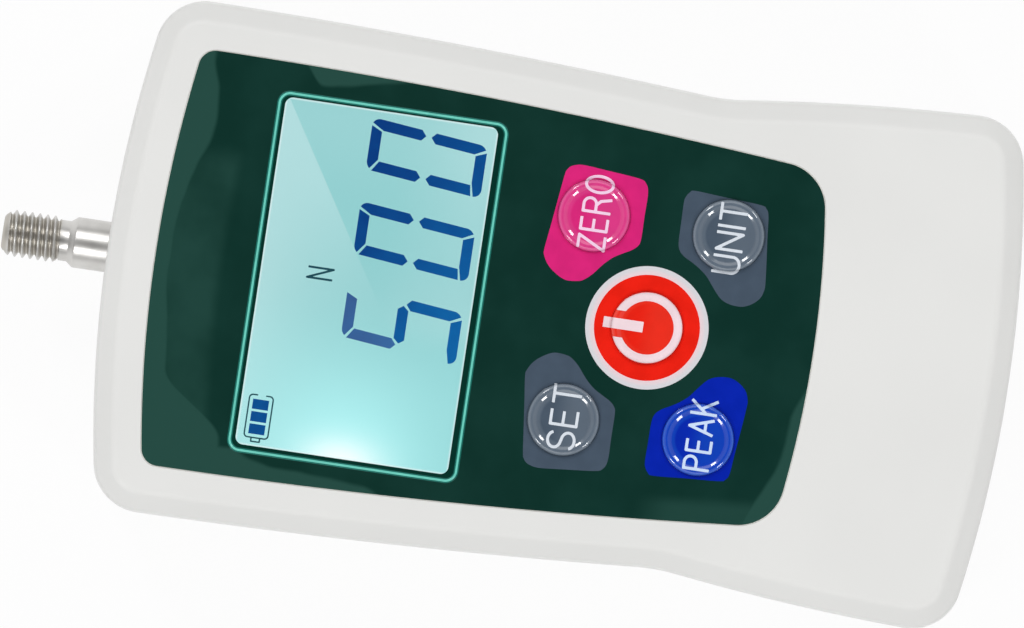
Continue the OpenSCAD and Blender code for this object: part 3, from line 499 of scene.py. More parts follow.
def overlay_film():
    """Back-printed dark green film: glossy, with the faint ripple of a glued sheet and paler patches along
    its border that are painted reflection.
    """
    f = Finish("overlay_green", Specular_IOR_Level=0.4)
    haze = f.noise(9.0, 3.0)
    scuff = f.noise(1.6, 4.0, (1.0, 6.0, 1.0), 0.7)
    ink = f.mix(f.ease(haze, 0.35, 0.7), srgb(14, 49, 42), srgb(19, 55, 48))
    return f.set(
        # Paler patches along the border: painted reflection mixed into the ink colour.
        Base_Color=f.mix(painted_film_reflection(f), ink, srgb(38, 75, 67)),
        Roughness=0.1 + haze * 0.06 + f.ease(scuff, 0.6, 0.8) * 0.05,
        Normal=f.bump(f.noise(5.0), 0.008),
    )


def printed(name, colour, rough=0.16):
    """Screen-printed ink under the film's gloss, with a little mottle."""
    f = Finish(name)
    mottle = f.noise(2.4, 3.0)
    return f.set(
        Base_Color=f.mottled(mottle, colour, 0.94, 1.04),
        Roughness=rough + (mottle - 0.5) * 0.1,
        Normal=f.bump(f.noise(0.18, 1.0), 0.002, 0.2),
    )


def dome_ink_with_painted_sheen(name, colour, sheen_colour, centre):
    """The same ink on an embossed dome, with painted highlight that makes it paler at its foot and rim, and
    on the side of its crown that faces the tail."""
    f = Finish(name, IOR=1.5, Coat_Weight=0.8, Coat_Roughness=0.03)
    off_y, radius = f.around(centre)
    foot = f.ease(abs(radius - 4.36), 0.26, 0.06)
    rim = f.ease(abs(radius - 4.02), 0.74, 0.42)
    lit = f.ease(off_y, 1.6, -1.2).most(f.ease(radius, 2.75, 3.15))
    crown = f.ease(radius, 4.0, 3.2) * lit
    mottle = f.noise(2.4, 3.0)
    ink = f.mottled(mottle, colour, 0.96, 1.05)
    return f.set(
        # Foot, rim and the crown's side towards the tail are paler: painted highlight.
        Base_Color=f.mix((foot * 0.46).most(rim * 0.24).most(crown * 0.18 + 0.03), ink, sheen_colour),
        Roughness=0.06 + (mottle - 0.5) * 0.04,
        Normal=f.bump(f.noise(0.18, 1.0), 0.002, 0.2),
    )


def print_with_painted_glow(name, colour):
    """White print under the clear film of a dome, kept evenly lit by a painted glow and a shading normal that
    points straight up.
    """
    # The emission is a painted glow that offsets the shade on the dome's slopes.
    f = Finish(name, Specular_IOR_Level=0.3, Emission_Color=colour, Emission_Strength=0.22)
    mottle = f.noise(2.4, 3.0)
    return f.set(
        Base_Color=f.mottled(mottle, colour, 0.74, 0.8),
        Roughness=0.25 + (mottle - 0.5) * 0.1,
        Normal=f.node("ShaderNodeCombineXYZ", None, {2: 1.0}),
    )


def printed_rim(name, inner, outer, centre):
    """The white ring round the power key, warmer on the side of the red pad."""
    f = Finish(name)
    _, radius = f.around(centre)
    mottle = f.noise(2.4, 3.0)
    return f.set(
        Base_Color=f.mix(f.ease(radius + (mottle - 0.5) * 0.2, 6.85, 7.6), inner, outer),
        Roughness=0.2 + (mottle - 0.5) * 0.1,
    )


def clear_window():
    f = Finish("window_clear", Base_Color=(1.0, 1.0, 1.0, 1.0), Transmission_Weight=1.0, IOR=1.49)
    smear = f.noise(9.0, 3.0, (1.0, 2.5, 1.0))
    return f.set(Roughness=f.ease(smear, 0.62, 0.85) * 0.03)


def reflection_edge_side(x, y):
    """How far a place lies beyond the soft edge of the reflection painted across the display, towards the
    head.
    """
    return y - (x + 4.46) * 0.6187 - 14.54


def display_image():
    """The lit display: cyan, with a paler painted reflection beyond a soft diagonal edge, and the lamp's glow
    at one long edge.
    """
    f = Finish("display_lit", Base_Color=(0.01, 0.015, 0.015, 1.0), Roughness=0.3, Specular_IOR_Level=0.0,
               Emission_Strength=1.06)
    x, y, _ = f.axes()
    down = (31.5 - y) / 27.4
    # The paler side of the diagonal edge is a painted reflection.
    reflection_side = f.ease(reflection_edge_side(x, y), -0.12, 0.12).most(f.ease(x, -3.0, -8.0))
    fading = (2.4 - x / 6.0).most(0.3).least(3.2)
    reflection_tone = (down * fading * -1.0).exp() * (x / 160.0 + 0.82)
    calm = (f.ease(x, 9.0, 21.0) * 0.2 + f.ease(x, 4.0, -4.0) * 0.08 + f.ease(y, 17.0, 11.0) * 0.16 + 0.04
            + f.ease(y, 13.0, 5.0) * (f.ease(x, 0.0, 21.0) * 0.2 + 0.14))
    level = reflection_side * reflection_tone + (1.0 - reflection_side) * calm
    ground = f.mix(level, srgb(145, 207, 208), srgb(182, 224, 225))
    ground = f.mix(f.ease(x, 1.0, -15.0) * 0.24, ground, (0.46, 0.98, 0.98, 1.0))
    off_x, off_y = x + 22.9, y - 17.8
    wide = ((off_x * off_x + off_y * off_y) * -0.0111).exp()
    near = (off_x * off_x * -0.11 - off_y * off_y * 0.045).exp()
    lit = f.mix(wide * 0.6, ground, (0.56, 1.14, 1.14, 1.0))
    lit = f.mix(near, lit, (1.0, 1.1, 1.1, 1.0))
    border = (WINDOW[0] / 2 - abs(x)).least(WINDOW[1] / 2 - abs(y - WINDOW_Y))
    grain = f.noise(0.5, 1.0)
    lit = f.mix(f.ease(border, 0.3, 0.08) * 0.6, lit, srgb(226, 244, 244))
    lit = f.mix((grain - 0.5) * 0.06 + 0.03, lit, srgb(140, 200, 205))
    return f.set(Emission_Color=lit)


def display_ink(name, dark, light):
    """Display segments: a dark tone that the light behind makes lighter towards the tail and the lamp."""
    f = Finish(name, Base_Color=(0.0, 0.004, 0.01, 1.0), Roughness=0.35, Specular_IOR_Level=0.0,
               Emission_Strength=1.0)
    x, y, _ = f.axes()
    towards_tail = f.ease(y, 20.0, 4.0)
    towards_lamp = f.ease(x, 20.0, -8.0)
    uneven = f.noise(3.0)
    level = (towards_tail * 0.5 + towards_lamp * 0.35 + (uneven - 0.5) * 0.5) * (towards_lamp * 0.4 + 0.6)
    # The same painted reflection, faint over the segments.
    reflection_veil = f.ease(reflection_edge_side(x, y), -0.12, 0.12) * f.ease(x, 0.0, -2.0) * f.ease(y, 24.0, 22.0)
    return f.set(Emission_Color=f.mix(reflection_veil * 0.07, f.mix(level, dark, light), srgb(200, 226, 230)))


def metal(name, colour, rough, line_mm=(0.08, 4.0, 0.08), depth_mm=0.002):
    """Worked metal: fine lines along one direction, a faint cloud of tone and uneven polish."""
    f = Finish(name, Metallic=1.0)
    stretch = tuple(1.0 / length for length in line_mm)
    lines = f.noise(1.0, stretch=stretch)
    cloud = f.noise(3.0, 3.0)
    return f.set(
        Base_Color=f.mottled(cloud, colour, 0.9, 1.05),
        Roughness=rough + (lines - 0.5) * 0.14 + (cloud - 0.5) * 0.1,
        Normal=f.bump(lines, depth_mm),
    )


def stud_steel():
    """Turned stainless steel: tool lines round the axis, and a painted brown shade down in the thread."""
    f = Finish("stud_steel", Metallic=1.0)
    x, y, z = f.axes()
    off_z = z - ROD_Z
    radius = (x * x + off_z * off_z) ** 0.5
    lines = f.noise(1.0, stretch=(2.0, 16.0, 2.0))
    cloud = f.noise(3.0, 3.0)
    # Darker warm brown in the thread's roots: painted shade.
    painted_thread_shade = f.ease(radius, 2.95, 2.5) * f.ease(y, THREAD_Y - 0.3, THREAD_Y + 0.2)
    steel = f.mix(f.ease(cloud, 0.3, 0.7), (0.58, 0.57, 0.55, 1.0), (0.68, 0.67, 0.65, 1.0))
    return f.set(
        Base_Color=f.mix(painted_thread_shade * 0.45, steel, (0.36, 0.32, 0.25, 1.0)),
        Roughness=0.33 + (lines - 0.5) * 0.14 + (cloud - 0.5) * 0.08,
        Normal=f.bump(lines, 0.003),
    )


def circuit_board():
    """Solder mask over copper tracks."""
    f = Finish("circuit_board_green")
    weave = f.noise(0.5)
    tracks = f.node("ShaderNodeTexVoronoi", {"feature": "DISTANCE_TO_EDGE"}, {
        "Vector": f.place(), "Scale": 260.0}, "Distance")
    copper = f.ease(tracks, 0.06, 0.10)
    return f.set(
        Base_Color=f.mix(copper, srgb(26, 104, 58), srgb(12, 70, 38)),
        Roughness=0.34 + (weave - 0.5) * 0.12,
        Normal=f.bump(copper * -1.0 + weave * 0.2, 0.02),
    )


HOUSING = housing_plastic()
FILM = overlay_film()
# The film's cut edge is painted near-white: a painted highlight along it.
FILM_EDGE_GLINT = printed("film_cut_edge_glint", srgb(246, 247, 240), 0.4)
# Near-black green between the window and its line: painted shade.
BORDER_SHADE = printed("window_border_painted_shade", srgb(5, 49, 41), 0.12)
TEAL = printed("window_line_teal", srgb(12, 106, 95), 0.2)
# The line's bright narrow core is a painted highlight on the bead.
TURQUOISE_HIGHLIGHT = printed("window_line_turquoise_highlight", srgb(106, 206, 189), 0.2)
PINK_INK = srgb(218, 38, 122)
GREY_INK = srgb(72, 86, 102)
BLUE_INK = srgb(5, 36, 172)
RED_INK = srgb(237, 33, 18)
PINK = printed("pad_pink", PINK_INK)
GREY = printed("pad_grey", GREY_INK)
BLUE = printed("pad_blue", BLUE_INK)
RED = printed("pad_red", RED_INK)
POWER_WHITE = printed("power_white", srgb(238, 217, 223), 0.2)
POWER_RIM = printed_rim("power_rim", srgb(234, 212, 217), srgb(216, 216, 221), KEY_PLACES["power"])
DOME_POWER_WHITE = print_with_painted_glow("dome_power_white", srgb(244, 220, 226))
WINDOW_CLEAR = clear_window()
DISPLAY = display_image()
SEGMENTS = display_ink("display_ink", srgb(10, 60, 130), srgb(18, 106, 174))
FINE_LINES = display_ink("display_fine_lines", srgb(26, 64, 78), srgb(50, 104, 108))
STUD_STEEL = stud_steel()

SLOT_FINISHES = {
    "housing": HOUSING,
    "overlay": FILM,
    "window": WINDOW_CLEAR,
    "display": moulded("display_glass", srgb(150, 186, 184), 0.15, 0.8, 0.001),
    "light_guide": moulded("light_guide_white", srgb(232, 236, 236), 0.3, 0.6, 0.002),
    "frame_plastic": moulded("frame_black", srgb(34, 35, 37), 0.5, 0.3, 0.006),
    "elastomer": moulded("strip_rubber", srgb(196, 176, 190), 0.7, 0.12, 0.01, 0.1),
    "circuit_board": circuit_board(),
    "steel": metal("plain_steel", (0.56, 0.56, 0.55, 1.0), 0.3),
    "black_steel": metal("black_steel", (0.05, 0.05, 0.055, 1.0), 0.38),
    "chip": moulded("chip_epoxy", srgb(30, 30, 32), 0.55, 0.15, 0.006),
    "aluminium": metal("milled_aluminium", (0.72, 0.73, 0.74, 1.0), 0.34, (3.0, 0.1, 0.1), 0.003),
    "foil": moulded("gauge_foil", srgb(190, 140, 60), 0.35, 0.3, 0.004, 0.12),
    "stud_steel": STUD_STEEL,
    "cell_wrap": moulded("battery_wrap", srgb(30, 84, 170), 0.3, 0.6, 0.003),
    "key_pink": PINK,
    "key_grey": GREY,
    "key_blue": BLUE,
    "key_red": RED,
    "plunger": moulded("plunger_white", srgb(214, 212, 204), 0.45, 0.25, 0.004),
    "sensor_wire": moulded("sensor_wire_yellow", srgb(214, 182, 60), 0.4, 0.3, 0.003),
    "battery_wire": moulded("battery_wire_red", srgb(180, 36, 34), 0.4, 0.3, 0.003),
}
for row in frame["record"]["subparts"]:
    node = frame["nodes"][row["node"]]
    node.data.materials.clear()
    node.data.materials.append(SLOT_FINISHES[row["material_slot"]])


# Housing

def soft_bevel(inset, width, depth, soft, steps=5):
    """The bevel from an upright side to the face, with both its edges eased, as (inset, height)."""
    run = math.hypot(width, depth)
    along = np.array([width, depth]) / run
    low = np.array([inset, BODY_T - depth])
    high = np.array([inset + width, BODY_T])
    corners = [(low - [0, soft], low, low + soft * along), (high - soft * along, high, high + [soft, 0])]
    path = []
    for a, b, c in corners:
        for t in np.linspace(0.0, 1.0, steps):
            path.append((1 - t) ** 2 * a + 2 * t * (1 - t) * b + t * t * c)
    return path


def front_housing():
    outside = [(0.3, PARTING_Z), (0.05, PARTING_Z + 0.2), (0.0, PARTING_Z + 0.4)]
    outside += soft_bevel(DRAFT, 2.4, 2.2, 0.6)
    shell = solid_object("front_housing", skin(levels(body_outline, outside)))
    above, post_top = BODY_T + 1, PANEL_Z + 0.5
    cavity = levels(body_outline, ((WALL, PARTING_Z - 1), (INNER, PANEL_Z - 2), (INNER + 2, PANEL_Z)))
    recess = levels(film_outline, (
        (0.012, FILM_SEAT_Z), (0.012, BODY_T - 0.03), (0.03, BODY_T + 0.005), (0.03, above)))
    key_way = [(2.56, PANEL_Z - 1), (2.56, 34.5), (4.75, 34.5), (4.75, above)]
    socket_way = np.array([(-4.15, -1.0), (4.15, -1.0), (4.15, 3.8), (-4.15, 3.8)]) + (0.0, TAIL_Y)
    hollow(
        shell, skin(cavity),
        join(*posts(CASE_SCREWS, 4.0, PARTING_Z, post_top), *posts(BOARD_POSTS, 2.7, PCB_TOP_Z, post_top)),
        join(*posts(CASE_SCREWS, 1.55, PARTING_Z - 1, PARTING_Z + 7.4)),
        skin(recess),
        slab(let_out(PLATE, PLATE_CORNER, 0.1, WINDOW_MIDDLE), PLATE_LOW_Z, above),
        slab(rounded_rect(45.4, 28.0, 1.3, *WINDOW_MIDDLE), PANEL_Z - 1, above),
        join(*(turned(key_way, 64, at) for at in KEY_PLACES.values())),
        slab(socket_way, PARTING_Z - 1, 26.5),
    )
    dress(shell, HOUSING, "housing", 28.0, ("front_shell",), True)


def rear_housing():
    back = [(DRAFT + 3.0 * (1 - math.sin(a)), 3.0 * (1 - math.cos(a)))
            for a in np.radians(np.linspace(0, 90, 10))]
    outside = back + [(0.0, PARTING_Z - 0.4), (0.05, PARTING_Z - 0.2), (0.3, PARTING_Z)]
    shell = solid_object("rear_housing", skin(levels(body_outline, outside)))
    cavity = levels(body_outline, ((INNER + 2, WALL), (INNER, WALL + 2), (WALL, PARTING_Z + 1)))
    floor_z = WALL - 0.5
    screw_way = [(3.3, -0.3), (3.05, 0.3), (3.05, 10.0), (1.8, 10.0), (1.8, PARTING_Z + 1)]
    stand_way = [(2.8, -0.3), (2.4, 0.4), (2.4, 5.5)]
    rod_way = [(3.6, 43.8), (3.6, HEAD_Y - 0.4), (4.1, HEAD_Y + 0.3)]
    hollow(
        shell, skin(cavity),
        join(*posts(CASE_SCREWS, 4.0, floor_z, PARTING_Z), *posts(STAND_HOLES, 4.4, floor_z, 4.5)),
        join(*(turned(screw_way, 64, at) for at in CASE_SCREWS)),
        join(*(turned(stand_way, 64, at) for at in STAND_HOLES)),
        along_y(turned(rod_way), ROD_Z),
    )
    dress(shell, HOUSING, "housing", 28.0, ("rear_shell",), True)


front_housing()
rear_housing()


# Overlay film

def overlay():
    foot_z = FILM_SEAT_Z + 0.01
    edge = levels(film_outline, (
        (0.0, foot_z), (0.0, FILM_TOP_Z - 0.08), (-0.02, FILM_TOP_Z - 0.03), (-0.09, FILM_TOP_Z - 0.01)))
    piece("overlay_cut_edge", skin(edge, False), FILM_EDGE_GLINT, "overlay")

    rings = levels(film_outline, (
        (-0.09, FILM_TOP_Z - 0.01), (-0.15, FILM_TOP_Z - 0.003), (-0.22, FILM_TOP_Z)))
    made = solid_object("overlay_film", skin(rings, False))
    mesh = bmesh.new()
    mesh.from_mesh(made.data)
    mesh.verts.ensure_lookup_table()
    loops = [mesh.verts[-len(rings[-1]):]]
    holes = [rounded_rect(*WINDOW, WINDOW_CORNER, *WINDOW_MIDDLE)]
    holes += [circle(*at, KEY_HOLE_R, 96) for at in KEY_PLACES.values()]
    for hole in holes:
        loops.append([mesh.verts.new((x * 0.001, y * 0.001, FILM_TOP_Z * 0.001)) for x, y in hole])
    edges = []
    for loop in loops:
        for a, b in zip(loop, loop[1:] + loop[:1]):
            edges.append(mesh.edges.get((a, b)) or mesh.edges.new((a, b)))
    bmesh.ops.triangle_fill(mesh, use_beauty=True, edges=edges, normal=(0.0, 0.0, 1.0))
    for loop in loops[1:]:
        low = [mesh.verts.new((v.co.x, v.co.y, foot_z * 0.001)) for v in loop]
        for i in range(len(loop)):
            mesh.faces.new((loop[i - 1], loop[i], low[i], low[i - 1]))
    bmesh.ops.recalc_face_normals(mesh, faces=mesh.faces)
    mesh.to_mesh(made.data)
    mesh.free()
    dress(made, FILM, "overlay", 25.0, ("keypad_overlay",))


overlay()


LINE = (45.76, 29.05)
LINE_CORNER = 1.35
LINE_MIDDLE = (-0.13, 17.64)


def window_border():
    """A dark band from the window's edge out to the line round it, painted as the shade that falls there."""
    inner = rounded_rect(*WINDOW, WINDOW_CORNER, *WINDOW_MIDDLE, 14)
    outer = rounded_rect(*LINE, LINE_CORNER, *LINE_MIDDLE, 14)
    rings = [at_height(outline, FILM_TOP_Z + 0.004) for outline in (outer, inner)]
    piece("window_border", skin(rings, False), BORDER_SHADE, "overlay")


window_border()


def bead_line(name, half, base, height, finish):
    """A low half-round bead round the window."""
    rings = []
    for a in np.radians(np.linspace(180, 0, 9)):
        outline = let_out(LINE, LINE_CORNER, half * math.cos(a), LINE_MIDDLE, 14)
        rings.append(at_height(outline, FILM_TOP_Z - 0.004 + base + height * math.sin(a)))
    piece(name, skin(rings[::-1], False), finish, "overlay")


# Teal print on a low bead; the lighter core on top of it is painted highlight.
bead_line("window_line_border", 0.31, 0.0, 0.03, TEAL)
bead_line("window_line", 0.14, 0.02, 0.05, TURQUOISE_HIGHLIGHT)


# Keys and their printed pads

ZERO_PAD = [
    (19.07, -6.16), (19.22, -7.31), (18.94, -10.55), (18.57, -14.32), (18.14, -15.29), (16.97, -15.76),
    (13.95, -15.76), (10.91, -15.76), (10.09, -15.50), (9.49, -14.86), (8.88, -13.78), (8.25, -12.71),
    (7.46, -11.80), (6.64, -11.08), (5.96, -10.55), (5.39, -10.01), (4.89, -9.40), (4.58, -8.75),
    (4.43, -7.31), (4.68, -6.41), (5.21, -5.51), (5.79, -4.79), (6.46, -4.25), (7.17, -3.89),
    (7.89, -3.78), (11.10, -4.18), (14.47, -4.58), (17.69, -4.97), (18.29, -5.15), (18.76, -5.51),
]
UNIT_PAD = [
    (18.13, -21.76), (17.85, -25.90), (17.57, -30.21), (17.21, -30.97), (16.42, -31.36), (13.57, -31.65),
    (10.72, -31.97), (7.70, -32.26), (6.81, -32.22), (5.80, -31.83), (4.96, -30.93), (4.49, -29.93),
    (4.42, -28.95), (4.59, -27.88), (5.02, -26.97), (5.74, -26.25), (6.62, -25.53), (7.59, -24.74),
    (8.41, -23.74), (9.08, -22.66), (9.66, -21.58), (10.37, -20.86), (11.44, -20.58), (13.93, -20.54),
    (16.42, -20.50), (17.21, -20.65), (17.85, -21.08),
]
# Painted highlight tone for the rims of the grey domes.
GREY_SHEEN = srgb(146, 158, 170)
# Pad print, ink on the dome, its painted highlight tone at the rim, slot
KEY_FINISHES = {
    "zero": (PINK, PINK_INK, srgb(234, 106, 173), "key_pink"),
    "set": (GREY, GREY_INK, GREY_SHEEN, "key_grey"),
    "unit": (GREY, GREY_INK, GREY_SHEEN, "key_grey"),
    "peak": (BLUE, BLUE_INK, srgb(42, 122, 232), "key_blue"),
    "power": (RED, RED_INK, srgb(246, 84, 62), "key_red"),
}


def pad_ring(outline, centre, hole_r, z, rings=4, steps=240):
    """A flat printed pad round a key, from its outline in to the key's edge."""
    outline = np.asarray(outline) - centre
    turn = np.unwrap(np.arctan2(outline[:, 1], outline[:, 0]))
    reach = np.hypot(outline[:, 0], outline[:, 1])
    if turn[-1] < turn[0]:
        turn, reach = turn[::-1], reach[::-1]
    a = turn[0] + np.arange(steps) * 2 * math.pi / steps
    full = np.interp(a, np.append(turn, turn[0] + 2 * math.pi), np.append(reach, reach[0]))
    loops = []
    for t in np.linspace(1.0, 0.0, rings):
        r = hole_r + (full - hole_r) * t
        loops.append(at_height(np.column_stack([centre[0] + r * np.cos(a), centre[1] + r * np.sin(a)]), z))
    return skin(loops, False)


def dome_profile():
    """The embossed dome: a raised rim round a slightly crowned middle, as (radius, height above the film)."""
    rim_h, dip_r, dip_h, crown_h, fullness = 0.775, 3.3, 0.6, 0.62, 0.8
    outer = [(RIM_R + (KEY_R - RIM_R) * abs(math.cos(a)) ** fullness, rim_h * math.sin(a) ** fullness)
             for a in np.linspace(0.0, math.pi / 2, 24)]
    inner = [(RIM_R - (RIM_R - dip_r) * t, dip_h + (rim_h - dip_h) * (1 + math.cos(math.pi * t)) / 2)
             for t in np.linspace(0.05, 1.0, 16)]
    crown = [(dip_r * t, dip_h + (crown_h - dip_h) * (1 - t * t) ** 2) for t in np.linspace(0.94, 0.0, 14)]
    return outer + inner + crown


DOME = dome_profile()
DOME_R = np.array([r for r, _ in DOME][::-1])
DOME_H = np.array([h for _, h in DOME][::-1])
DOME_SLOPE = np.minimum(np.abs(np.gradient(DOME_H, DOME_R)), 2.0)


def dome_keys():
    below = [(2.5, 32.3), (2.5, 35.0), (KEY_R, 35.0)]
    above = [(r, FILM_TOP_Z + h) for r, h in DOME]
    for name, at in KEY_PLACES.items():
        _, colour, sheen_colour, slot = KEY_FINISHES[name]
        finish = dome_ink_with_painted_sheen(f"dome_print_{name}", colour, sheen_colour, at)
        piece(f"dome_{name}", turned(below + above, 120, at), finish, slot, angle=50.0,
              replaces=(f"key_{name}",), body=f"{name}_key")


dome_keys()


def printed_pads():
    mirror, shift = np.array([-1.0, 1.0]), np.array([-0.41, 0.03])
    zero, unit = smooth_loop(ZERO_PAD), smooth_loop(UNIT_PAD) + np.array([-0.06, 0.06])
    z = FILM_TOP_Z + INK
    pads = {"zero": zero, "set": zero * mirror + shift, "unit": unit, "peak": unit * mirror + shift}
    for name, outline in pads.items():
        finish, _, _, slot = KEY_FINISHES[name]
        piece(f"pad_{name}", pad_ring(outline, KEY_PLACES[name], KEY_HOLE_R, z), finish, slot)
    centre = KEY_PLACES["power"]
    red = pad_ring(circle(*centre, POWER_PAD_R, 200), centre, KEY_HOLE_R, z)
    white = pad_ring(circle(*centre, POWER_RING_R, 200), centre, POWER_PAD_R, z)
    piece("pad_power", red, RED, "key_red")
    piece("pad_power_ring", white, POWER_RIM, "overlay")


printed_pads()


# Printed signs, cut from a fine grid along the edges of their strokes

def strokes_field(lines, width):
    """Distance outside strokes with square ends and round joints, as a function of place."""
    def field(x, y):
        best = np.full(np.shape(x), 1e3)
        for line in lines:
            line = np.asarray(line, float)
            closed = np.allclose(line[0], line[-1])
            for a, b in zip(line[:-1], line[1:]):
                length = np.linalg.norm(b - a)
                along = (b - a) / length
                px, py = x - (a[0] + b[0]) / 2, y - (a[1] + b[1]) / 2
                far = np.abs(px * along[0] + py * along[1]) - length / 2
                wide = np.abs(py * along[0] - px * along[1]) - width / 2
                best = np.minimum(best, np.maximum(far, wide))
            for joint in (line if closed else line[1:-1]):
                best = np.minimum(best, np.hypot(x - joint[0], y - joint[1]) - width / 2)
        return best
    return field


def trim(polygon, values):
    """The part of a polygon where values are negative, each corner as (x, y)."""
    kept = []
    for i in range(len(polygon)):
        j = (i + 1) % len(polygon)
        if values[i] <= 0:
            kept.append(polygon[i])
        if (values[i] <= 0) != (values[j] <= 0):
            t = values[i] / (values[i] - values[j])
            kept.append(polygon[i] + (polygon[j] - polygon[i]) * t)
    return kept


def sign_sheet(sign, low, high, step, height, limit=None):
    """A thin printed sheet where a sign's field, and that of its limit, are negative."""
    xs = np.arange(low[0], high[0] + step, step)
    ys = np.arange(low[1], high[1] + step, step)
    gx, gy = np.meshgrid(xs, ys, indexing="ij")
    ink = sign(gx, gy)
    least = np.minimum.reduce([ink[:-1, :-1], ink[1:, :-1], ink[1:, 1:], ink[:-1, 1:]])
    points, faces, known = [], [], {}
    for i, j in zip(*np.nonzero(least < 0)):
        ring = [(i, j), (i + 1, j), (i + 1, j + 1), (i, j + 1)]
        cell = trim([np.array((xs[a], ys[b])) for a, b in ring], [ink[a, b] for a, b in ring])
        if limit and len(cell) > 2:
            cell = trim(cell, [limit(x, y) for x, y in cell])
        face = []
        for corner in cell:
            key = (round(corner[0], 4), round(corner[1], 4))
            if key not in known:
                known[key] = len(points)
                points.append(key)
            if known[key] not in face:
                face.append(known[key])
        if len(face) > 2:
            faces.append(tuple(face))
    spread = np.array(points).reshape(-1, 2)
    return np.column_stack([spread, height(*spread.T)]), faces


def flat(z):
    """The height of a level sheet, as a function of place."""
    return lambda x, y: np.full(np.shape(x), z)


def bow(cx, cy, rx, ry, a0, a1, steps=14):
    a = np.radians(np.linspace(a0, a1, steps))
    return [(cx + rx * math.cos(t), cy + ry * math.sin(t)) for t in a]


# Plain capitals in a box one unit high: width and strokes along their middle lines
LETTERS = {
    "A": (0.66, [[(0, 0), (0.33, 1), (0.66, 0)], [(0.12, 0.34), (0.54, 0.34)]]),
    "E": (0.5, [[(0.5, 0), (0, 0), (0, 1), (0.5, 1)], [(0, 0.52), (0.46, 0.52)]]),
    "I": (0, [[(0, -0.06), (0, 1.06)]]),
    "K": (0.58, [[(0, -0.06), (0, 1.06)], [(0.56, 1.04), (0, 0.38)], [(0.2, 0.6), (0.6, -0.05)]]),
    "N": (0.6, [[(0, -0.06), (0, 1), (0.6, 0), (0.6, 1.06)]]),
    "O": (0.66, [bow(0.33, 0.5, 0.33, 0.52, 0, 360, 40)]),
    "P": (0.54, [[(0, -0.06), (0, 1), (0.28, 1), *bow(0.28, 0.75, 0.26, 0.25, 85, -85),
                  (0.28, 0.5), (0, 0.5)]]),
    "R": (0.56, [[(0, -0.06), (0, 1), (0.3, 1), *bow(0.3, 0.76, 0.25, 0.24, 85, -85),
                  (0.3, 0.52), (0, 0.52)], [(0.28, 0.52), (0.46, 0.36), (0.56, -0.06)]]),
    "S": (0.54, [[*bow(0.27, 0.76, 0.26, 0.25, 15, 265, 22), *bow(0.27, 0.24, 0.27, 0.25, 85, -165, 22)]]),
    "T": (0.56, [[(-0.04, 1), (0.6, 1)], [(0.28, -0.06), (0.28, 1)]]),
    "U": (0.58, [[(0, 1.06), (0, 0.3), *bow(0.29, 0.28, 0.29, 0.29, 180, 360, 20), (0.58, 0.3),
                  (0.58, 1.06)]]),
    "Z": (0.54, [[(0.02, 1), (0.54, 1), (0, 0), (0.56, 0)]]),
}
STROKE = 0.37
LEGEND_GRID = 0.07


def word_lines(word, x0, x1, y0, y1):
    """A word's strokes, set so that their outer edges fill the given box."""
    gap = 0.24
    width = sum(LETTERS[c][0] for c in word) + gap * (len(word) - 1)
    low, high = y0 + STROKE / 2, y1 - STROKE / 2
    sx = (x1 - x0 - STROKE) / width
    lines, x = [], x0 + STROKE / 2
    for c in word:
        letter_w, strokes = LETTERS[c]
        lines += [[(x + px * sx, low + py * (high - low)) for px, py in line] for line in strokes]
        x += (letter_w + gap) * sx
    return lines


def key_sign(name, field, low, high, on_film, on_dome):
    """Prints a sign across a key: what is on the dome moves with the key, the rest stays on the film."""
    cx, cy = KEY_PLACES[name]

    def outside(x, y):
        return np.hypot(x - cx, y - cy) - KEY_R

    def inside(x, y):
        return -outside(x, y)

    def dome_top(x, y):
        radius = np.hypot(x - cx, y - cy)
        off = 0.014 * np.hypot(1.0, np.interp(radius, DOME_R, DOME_SLOPE))
        return FILM_TOP_Z + np.interp(radius, DOME_R, DOME_H) + off

    riding = sign_sheet(field, low, high, LEGEND_GRID, dome_top, outside)
    piece(f"legend_{name}", riding, on_dome, KEY_FINISHES[name][3], angle=60.0, body=f"{name}_key")
    staying = sign_sheet(field, low, high, LEGEND_GRID, flat(FILM_TOP_Z + 2 * INK), inside)
    if staying[1]:
        piece(f"legend_{name}_border", staying, on_film, "overlay")


def legends():
    words = {
        "zero": ("ZERO", 8.60, 18.28, -11.42, -7.73, srgb(246, 211, 236)),
        "set": ("SET", -16.95, -8.67, -11.30, -7.60, srgb(218, 225, 234)),
        "unit": ("UNIT", 8.20, 17.24, -28.71, -25.15, srgb(218, 225, 234)),
        "peak": ("PEAK", -17.05, -7.88, -28.59, -25.15, srgb(206, 224, 250)),
    }
    for name, (word, x0, x1, y0, y1, white) in words.items():
        field = strokes_field(word_lines(word, x0, x1, y0, y1), STROKE)
        on_film = printed(f"legend_white_{name}", white, 0.2)
        on_dome = print_with_painted_glow(f"dome_legend_white_{name}", white)
        key_sign(name, field, (x0 - 0.3, y0 - 0.3), (x1 + 0.3, y1 + 0.3), on_film, on_dome)

    cx, cy = KEY_PLACES["power"]
    bar = strokes_field([[(cx, cy + 0.5), (cx, cy + 5.6)]], 1.35)

    def symbol(x, y):
        ring = np.abs(np.hypot(x - cx, y - cy) - 3.945) - 0.545
        opening = np.where(y > cy, 1.7 - np.abs(x - cx), -1.0)
        return np.minimum(np.maximum(ring, opening), bar(x, y))

    key_sign("power", symbol, (cx - 4.8, cy - 4.8), (cx + 4.8, cy + 5.9), POWER_WHITE, DOME_POWER_WHITE)


legends()


# Window and display

